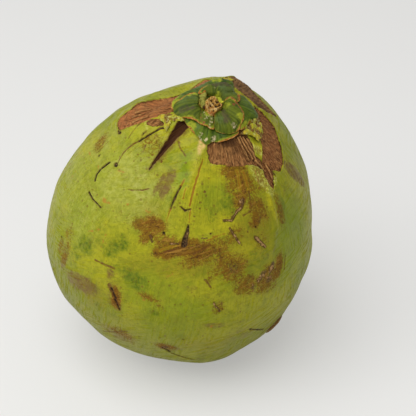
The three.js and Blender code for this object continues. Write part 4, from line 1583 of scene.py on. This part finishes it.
def drape(disc, bench, plane, lift, ease, beds=None):
    """Heights of a ringed disc that lies `lift` above what is below it, smoothed `ease` times."""
    ring, spoke = rings_of(disc)
    floor = np.array([bench.floor(x, y, beds) for x, y in plane]) + lift
    grid = np.empty((RINGS + 1, AROUND))
    grid[ring, spoke] = floor
    grid[RINGS] = floor[ring == RINGS].mean()
    lowest = grid.copy()
    for _ in range(ease):
        inner = np.vstack([grid[1:], grid[-1:]])
        outer = np.vstack([grid[:1], grid[:-1]])
        sides = np.roll(grid, 1, axis=1) + np.roll(grid, -1, axis=1)
        grid = np.maximum((inner + outer + sides) / 4, lowest)
        grid[RINGS] = grid[RINGS].mean()
    return grid[ring, spoke]


# %% Make a leaf
LEAF_THICKNESS = 1.1    # in the middle, in millimetres
LEAF_LIFT = 0.75        # its upper side above what it lies on, at the rim
LEAF_CROWN = 0.6        # and this much more in the middle
LEAF_EASE = 10          # how often its bed is smoothed


def tint_fields(tints, plane):
    """The tints of a leaf at places of its plane, each 1 in its middle and 0 well past it."""
    fields = {kind: np.zeros(len(plane)) for kind in TINT_KINDS}
    for kind, middle, radius in tints:
        gap = np.linalg.norm(plane - np.array(middle), axis=1)
        fields[kind] = np.maximum(fields[kind], 1 - smooth_step(gap, 0.4 * radius, 1.4 * radius))
    return fields


def thicken(piece, thickness, rim):
    """Gives a surface its thickness, downwards: full in the middle, thin at the rim."""
    group = piece.vertex_groups.new(name="thick")
    for index, weight in enumerate(np.clip(rim / 3, 0, 1)):
        group.add([index], float(weight), "REPLACE")
    solid = piece.modifiers.new("thickness", "SOLIDIFY")
    solid.thickness = thickness * MM
    solid.offset = -1
    solid.vertex_group = group.name
    solid.thickness_vertex_group = 0.35
    divide_all(piece, 1)
    piece.vertex_groups.clear()
    smooth_faces(piece)


def leaf_relief(plane, share, rim, fields, seed):
    """Rumples, veins that fan out from the stalk, and dry rims that curl up."""
    x, y = plane.T
    around = np.arctan2(y + 3, x)
    reach = np.hypot(x, y + 3)
    height = np.zeros(len(plane))
    for index, (u, v) in enumerate(plane):
        rumple = 0.5 * noise.noise((u / 6, v / 6, seed)) + 0.16 * noise.noise((u / 2, v / 2, seed))
        vein = noise.noise((9 * math.cos(around[index]), 9 * math.sin(around[index]), seed))
        curl = max(0.0, noise.noise((u / 2.2, v / 2.2, seed + 9)) + 0.25)
        dryness = fields["dry"][index] * (1 - min(rim[index] / 1.5, 1.0))
        height[index] = rumple + 0.30 * vein * min(reach[index] / 12, 1) + 1.1 * dryness * curl
    crumbs = np.array([noise.noise((u / 0.9, v / 0.9, seed)) for u, v in plane])
    height += fields["crust"] * np.clip(crumbs + 0.25, 0, None) * 0.9
    return height + 0.5 * (1 - share ** 2)


def finish_sheet(sheet, bench, plane, height, rim, fields, thickness):
    """Puts a draped sheet in its place, stores its tints and gives it its thickness."""
    write_points(sheet, np.array([bench.place(*spot, up) for spot, up in zip(plane, height)]))
    store(sheet, "rim", rim)
    for kind, values in fields.items():
        store(sheet, kind, values)
    thicken(sheet, thickness, rim)
    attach(sheet, "root")


def outline_plane(disc, outline, seed, nibble):
    """Draws a ringed disc out to an outline: its points, their share of the way, their rim."""
    ring, spoke = rings_of(disc)
    edge = ragged(even_outline(outline, AROUND), seed, nibble)
    middle = edge.mean(axis=0)
    share = 1 - (ring / RINGS) ** 1.5
    plane = middle + (edge[spoke] - middle) * share[:, None]
    return plane, share, (1 - share) * np.linalg.norm(edge[spoke] - middle, axis=1)


def make_leaf(node, seed):
    """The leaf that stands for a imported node: outlined, draped, thickened and given its tints."""
    leaf = ringed_disc(node + "_leaf")
    plane, share, rim = outline_plane(leaf, LEAF_OUTLINES[node], seed, 0.45)
    fields = tint_fields(LEAF_TINTS[node], plane)
    height = drape(leaf, crown, plane, LEAF_LIFT + LEAF_CROWN * smooth_step(rim, 0, 3), LEAF_EASE)
    height += leaf_relief(plane, share, rim, fields, seed)
    if node in LEAF_SHAPING:
        height += LEAF_SHAPING[node](*plane.T)
    finish_sheet(leaf, crown, plane, height, rim, fields, LEAF_THICKNESS)
    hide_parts(node)
    return leaf


# %% Make the calyx
def split_sepal(x, y):
    """The left sepal has split: its inner lobe, beside the stub, has sunk by a millimetre."""
    line = x + 7.2 - 0.1 * (y + 9)
    lobe = smooth_step(line, -0.3, 0.5) * smooth_step(-y, 2, 5) * (1 - smooth_step(-y, 15, 18))
    crack = np.exp(-(line / 0.5) ** 2) * smooth_step(-y, 1, 4) * (1 - smooth_step(-y, 14, 17))
    return -0.9 * lobe - 0.8 * crack


LEAF_SHAPING = {
    "sepal_left": split_sepal,
    "bracteole_left": lambda x, y: 1.8 * smooth_step(x, -8, -4.2) + 0.15 * np.sin(5 * x + y),
    "bracteole_right": lambda x, y: 3.4 * smooth_step(-np.hypot(x - 0.8, y + 4.5), -7.8, -5),
}
leaves = {}
for seed, node in enumerate(LEAF_OUTLINES):
    leaves[node] = make_leaf(node, 10 + seed)
    surfaces.append(BVHTree.FromObject(leaves[node], bpy.context.evaluated_depsgraph_get()))
    print(node, len(leaves[node].data.polygons), "faces")

# %% [markdown]
# ## The finish of the leaves
# A calyx leaf is leathery and dark green, with a painted blue-green sheen on it, and fine veins
# fan out from the stalk. Where it was rubbed it is grey-brown. Its rim has dried to orange-brown
# with a yellow-green band inside it, and pale crusts sit on its torn places.

# %% Colours of the calyx
LEAF_DARK = rgb(0.026, 0.052, 0.003)
LEAF_MID = rgb(0.120, 0.175, 0.006)
LEAF_DARK_SEPAL = rgb(0.034, 0.056, 0.003)
LEAF_MID_SEPAL = rgb(0.135, 0.165, 0.010)
LEAF_TEAL_SHEEN = rgb(0.090, 0.140, 0.048)
LEAF_WORN = rgb(0.085, 0.062, 0.036)
LEAF_RED = rgb(0.230, 0.070, 0.026)
LEAF_DRY = rgb(0.300, 0.095, 0.016)
LEAF_DRY_PALE = rgb(0.500, 0.250, 0.070)
LEAF_YELLOW = rgb(0.330, 0.360, 0.020)
LEAF_CRUST = rgb(0.560, 0.460, 0.260)
SCALE_KHAKI_DARK = rgb(0.170, 0.165, 0.022)
SCALE_KHAKI = rgb(0.340, 0.330, 0.060)
SCALE_LIME_DARK = rgb(0.280, 0.310, 0.010)
SCALE_LIME = rgb(0.480, 0.480, 0.040)
STUB_TAN = rgb(0.520, 0.310, 0.060)
STUB_OCHRE = rgb(0.330, 0.160, 0.014)
STUB_PIT = rgb(0.045, 0.016, 0.004)


def make_leaf_material(name, dark, mid):
    """Leathery green between two shades, with the tints that are stored on a leaf."""
    material, nodes, shader = new_material(name)
    vein = nodes.group("fruit_grain", Across=26.0, Along=70.0, Detail=4.0, Low=0.42, High=0.62)
    cloud = nodes.group("patches", Scale=190.0, Detail=5.0, Distortion=0.5, Low=0.42, High=0.64)
    fine = nodes.group("patches", Scale=900.0, Detail=4.0, Low=0.45, High=0.62)
    rib = nodes.group("fruit_grain", Across=8.0, Along=30.0, Detail=2.0, Low=0.44, High=0.58)
    colour = nodes.lay(dark, mid, rib, 0.60)
    colour = nodes.lay(colour, mid, vein, 0.40)
    colour = nodes.lay(colour, mid, cloud, 0.45)
    # painted sheen: a blue-green highlight on the leaves
    teal_sheen = nodes.times(nodes.field("teal_sheen"), nodes.plus(0.15, nodes.times(cloud, 0.5)))
    colour = nodes.mix(teal_sheen, colour, LEAF_TEAL_SHEEN)
    worn = nodes.group("flecks", Weight=nodes.field("worn"), Scale=420.0, Distortion=0.5,
                       Cover=0.44, Sharpness=0.34, Fade=0.8)
    colour = nodes.lay(colour, LEAF_WORN, worn, 0.80)
    yellow = nodes.group("flecks", Weight=nodes.field("yellow"), Scale=300.0, Distortion=0.5,
                         Cover=0.46, Sharpness=0.35)
    colour = nodes.lay(colour, LEAF_YELLOW, yellow, 0.85)
    dry = nodes.field("dry")
    band = nodes.minus(nodes.times(dry, 2.0), nodes.field("rim"))
    inner = nodes.group("ragged_edge", Field=band, Raggedness=0.9, Scale=420.0, Softness=0.4)
    colour = nodes.lay(colour, LEAF_YELLOW, inner, 0.55)
    band = nodes.minus(dry, nodes.field("rim"))
    outer = nodes.group("ragged_edge", Field=band, Raggedness=0.9, Scale=500.0, Softness=0.25)
    dry_colour = nodes.mix(fine, LEAF_DRY, LEAF_DRY_PALE)
    colour = nodes.lay(colour, dry_colour, outer, 0.9)
    red = nodes.group("flecks", Weight=nodes.field("red"), Scale=420.0, Distortion=0.6,
                      Cover=0.34, Sharpness=0.18)
    colour = nodes.lay(colour, LEAF_RED, red, 0.85)
    crust = nodes.group("flecks", Weight=nodes.field("crust"), Scale=560.0, Distortion=0.8,
                        Cover=0.22, Sharpness=0.10)
    colour = nodes.lay(colour, LEAF_CRUST, crust, 0.9)
    colour = nodes.mix(nodes.field("dark"), colour, STUB_PIT)
    dead = nodes.highest(nodes.highest(outer, crust), worn)
    roughness = nodes.plus(0.46, nodes.times(dead, 0.35))
    height = nodes.plus(nodes.times(vein, 0.5), nodes.times(fine, 0.25))
    height = nodes.plus(height, nodes.times(dead, 0.5))
    dress(nodes, shader, colour, roughness, 0.12, height, 0.3, 0.8)
    return material


LEATHERS = {
    "petal": (LEAF_DARK, LEAF_MID),
    "sepal": (LEAF_DARK_SEPAL, LEAF_MID_SEPAL),
    "bracteole_left": (SCALE_KHAKI_DARK, SCALE_KHAKI),
    "bracteole_right": (SCALE_LIME_DARK, SCALE_LIME),
}
leathers = {name: make_leaf_material(name + "_leather", *pair) for name, pair in LEATHERS.items()}
for node, leaf in leaves.items():
    leaf.data.materials.append(leathers[node if node in leathers else node.split("_")[0]])
print("leaf materials:", ", ".join(leathers))

# %% [markdown]
# ## The stub of the stalk
# The stalk has broken off and left a torn scar, a few millimetres proud of the leaves: a
# fibrous rim round deep, dark pores. A ringed disc gives it again. Its outer rings fall to
# the leaves as a wall, its inner rings are the scar, and pores are pressed into that by code,
# since no two of them are alike. The open foot is filled, so that the stub is a closed solid.

# %% Shape of the scar
STUB_RINGS = 28
STUB_AROUND = 120
WALL_RINGS = 4          # the outer rings, which are its wall
STUB_HEIGHT = 4.6       # of its top above the skin at the pole
STUB_SLOPE = 0.12       # its top rises this much for each millimetre to the back
STUB_OUTLINE = [
    (-4.5, -4), (-3.5, 0), (0, 2.5), (3.5, 0.5), (5.5, -3), (3, -7), (0.5, -11), (-2.5, -10.5),
    (-4, -7.5),
]
STUB_PORES = [
    # place, radius and depth in millimetres
    ((2.5, -1), 0.8, 1.5), ((-1, -0.5), 0.6, 1.4), ((-1.5, -4.5), 0.7, 2.2),
    ((2, -4.5), 0.8, 2.3), ((4, -3.5), 0.7, 1.8), ((0, -2.5), 0.6, 1.6), ((-2, -9), 0.8, 1.3),
    ((0.5, -8), 0.7, 1.2), ((-3, -7), 0.5, 1.0),
]
STUB_LUMPS = [((3.2, -3.0), 0.8, 0.9), ((-2.6, -3.2), 0.9, 0.6), ((1.6, -7.4), 0.9, 0.8)]


def bumps(plane, spots):
    """The sum of rounded bumps, each as high as it says in its middle."""
    total = np.zeros(len(plane))
    for middle, radius, tall in spots:
        gap = np.linalg.norm(plane - np.array(middle), axis=1)
        total += tall * np.exp(-(gap / radius) ** 2)
    return total


def make_stub():
    stub = ringed_disc("stalk_scar", STUB_RINGS, STUB_AROUND)
    ring, spoke = rings_of(stub, STUB_RINGS, STUB_AROUND)
    edge = ragged(even_outline(STUB_OUTLINE, STUB_AROUND), 31, 0.35)
    middle = edge.mean(axis=0)
    inward = np.clip((ring - WALL_RINGS) / (STUB_RINGS - WALL_RINGS), 0, 1)
    outward = 0.10 * np.clip((WALL_RINGS - ring) / WALL_RINGS, 0, 1) ** 2
    plane = middle + (edge[spoke] - middle) * (1 - inward + outward)[:, None]
    foot = np.array([crown.floor(x, y, -1) for x, y in plane]) - 0.5
    top = STUB_HEIGHT + STUB_SLOPE * plane[:, 1]
    rim = inward * np.linalg.norm(edge[spoke] - middle, axis=1)
    pores = bumps(plane, STUB_PORES)
    cells = np.array([noise.voronoi((x / 1.5, y / 1.8, 3.1))[0][:2] for x, y in plane])
    ridges = 1 - np.clip((cells[:, 1] - cells[:, 0]) / 0.35, 0, 1)
    wrinkle = np.array([noise.noise((x / 0.6, y / 0.6, 7.0)) for x, y in plane])
    scar = top - pores + bumps(plane, STUB_LUMPS) + 0.55 * ridges + 0.25 * wrinkle
    scar -= 0.8 * smooth_step(rim, 0.5, 2.2)
    rise = np.clip(ring / WALL_RINGS, 0, 1) ** 0.7
    height = foot + (np.maximum(scar, foot + 0.8) - foot) * rise
    write_points(stub, np.array([crown.place(*spot, up) for spot, up in zip(plane, height)]))
    store(stub, "pore", np.clip(pores / 1.6 + 0.35 * (1 - ridges) * (rim > 0.8), 0, 1))
    store(stub, "ridge", ridges * np.clip(rise, 0, 1))
    store(stub, "rim", rim)
    return stub


def close_foot(piece):
    """Draws the open edge of a piece down a little, and fills it."""
    pick_out(piece)
    bpy.ops.object.mode_set(mode="EDIT")
    bpy.ops.mesh.select_mode(type="EDGE")
    bpy.ops.mesh.select_all(action="DESELECT")
    bpy.ops.mesh.select_non_manifold()
    bpy.ops.mesh.extrude_edges_move(TRANSFORM_OT_translate={"value": tuple(-pole * 0.3 * MM)})
    bpy.ops.mesh.fill()
    bpy.ops.mesh.select_all(action="SELECT")
    bpy.ops.mesh.normals_make_consistent(inside=False)
    bpy.ops.object.mode_set(mode="OBJECT")


stub = make_stub()
close_foot(stub)
divide_all(stub, 1)
smooth_faces(stub)
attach(stub, "root")
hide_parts("stalk_stub")
print("stub:", len(stub.data.polygons), "faces")

# %% The finish of the stub
STUB_CREAM = rgb(0.640, 0.460, 0.200)
STUB_RED = rgb(0.300, 0.090, 0.020)


def make_stub_material():
    material, nodes, shader = new_material("torn_stalk")
    cloud = nodes.group("patches", Scale=420.0, Detail=4.0, Distortion=0.8, Low=0.42, High=0.60)
    broad = nodes.group("patches", Scale=230.0, Detail=2.0, Low=0.46, High=0.60)
    fine = nodes.group("patches", Scale=1500.0, Detail=4.0, Low=0.42, High=0.62)
    colour = nodes.mix(cloud, STUB_OCHRE, STUB_TAN)
    colour = nodes.lay(colour, STUB_RED, broad, 0.7)
    pale = nodes.times(nodes.field("ridge"), cloud)
    colour = nodes.lay(colour, STUB_CREAM, pale, 0.9)
    colour = nodes.lay(colour, STUB_OCHRE, fine, 0.3)
    colour = nodes.mix(nodes.step(nodes.field("pore"), 0.25, 0.85, 0.95), colour, STUB_PIT)
    dress(nodes, shader, colour, 0.78, 0.25, fine, 0.25, 0.8)
    return material


stub_material = make_stub_material()
stub.data.materials.append(stub_material)
print("stub material:", stub_material.name)

# %% [markdown]
# ## Loose bits of skin
# Where skin was torn off, scraps of it are left: a crumpled yellow-green tissue beside the
# right petal, folds between the left patch and the gouge, and a rim behind the back petal.
# They are draped like the leaves, then crumpled by noise, and they are thin. Low on the right
# a sliver of dry peel stands off the skin.

# %% Crumpled scraps
SCRAPS = {
    # outline in the plane of the crown, how crumpled in millimetres, a seed, and how many
    # of the surfaces so far it lies on
    "torn_tissue": ([
        (18, -18), (22, -11.5), (26, -5), (30, -1.5), (33, -6), (32.5, -14), (30, -18),
        (25.5, -16),
    ], 1.7, 41, None),
    "torn_fold": ([
        (-30, -8), (-24, -8.5), (-18, -9.5), (-14.5, -12.5), (-18, -14), (-23, -14),
        (-26, -20), (-28, -15), (-30, -11),
    ], 0.7, 43, 1),
    "torn_rim": ([(8, 32), (13, 34), (15, 31), (10, 28.5)], 0.6, 47, None),
}


SCRAP_THICKNESS, PEEL_THICKNESS = 0.7, 0.5
PEEL_LIFT = 1.3         # how far the free edge of the peel stands off


def make_scrap(name, outline, crumple, seed, beds):
    scrap = ringed_disc(name)
    plane, _, rim = outline_plane(scrap, outline, seed, 0.9)
    height = drape(scrap, crown, plane, 0.35, 4, beds)
    fold = np.array([noise.noise((x / 3.4, y / 3.4, seed)) for x, y in plane])
    crease = np.array([abs(noise.noise((x / 1.9, y / 4.2, seed + 3))) for x, y in plane])
    height += crumple * (np.clip(fold + 0.35, 0, None) + 0.9 * crease)
    kinds = {"fold": np.clip(0.6 + crumple * (fold - crease), 0, 1)}
    finish_sheet(scrap, crown, plane, height, rim, kinds, SCRAP_THICKNESS)
    return scrap


def make_peel():
    """A thin dry peel that stands off the skin low on the right."""
    start, end = skin_point(-35, -16), skin_point(-45, -20)
    middle = (start + end) / 2
    out = (middle - centre).normalized()
    side = out.cross(end - start).normalized()
    bench = Bench(middle, side.cross(out), side, out)
    peel = ringed_disc("peel")
    outline = [
        (-8, 0.2), (-4, 1.1), (0, 1.5), (4, 1.2), (8, 0.4), (4, -0.5), (0, -0.8), (-4, -0.4),
    ]
    plane, _, rim = outline_plane(peel, outline, 53, 0.3)
    height = drape(peel, bench, plane, 0.3, 2)
    height += PEEL_LIFT * smooth_step(plane[:, 1], -0.4, 1.3)
    finish_sheet(peel, bench, plane, height, rim, {"fold": np.zeros(len(plane))}, PEEL_THICKNESS)
    return peel


scraps = [make_scrap(name, *about) for name, about in SCRAPS.items()] + [make_peel()]
print("scraps:", ", ".join(scrap.name for scrap in scraps))

# %% The finish of the scraps
TISSUE_PALE = rgb(0.600, 0.590, 0.190)
TISSUE_LIME = rgb(0.370, 0.370, 0.014)
TISSUE_YELLOW = rgb(0.470, 0.370, 0.016)
TISSUE_BROWN = rgb(0.150, 0.070, 0.010)


def make_tissue():
    material, nodes, shader = new_material("torn_tissue")
    cloud = nodes.group("patches", Scale=190.0, Detail=3.0, Distortion=0.5, Low=0.44, High=0.60)
    brown = nodes.group("patches", Scale=330.0, Detail=4.0, Distortion=1.2, Low=0.52, High=0.66)
    pale = nodes.group("patches", Scale=620.0, Detail=3.0, Distortion=1.0, Low=0.52, High=0.64)
    colour = nodes.mix(cloud, TISSUE_LIME, TISSUE_YELLOW)
    colour = nodes.mix(nodes.step(nodes.field("fold"), 0.12, 0.50, 0.85), TISSUE_BROWN, colour)
    colour = nodes.lay(colour, TISSUE_BROWN, brown, 0.45)
    colour = nodes.lay(colour, TISSUE_PALE, pale, 0.6)
    dress(nodes, shader, colour, 0.62, 0.2, pale, 0.25, 0.7)
    return material


tissue = make_tissue()
for scrap in scraps:
    scrap.data.materials.append(tissue)
print("tissue:", tissue.name)

# %% The end
bpy.data.objects.remove(smooth_form)
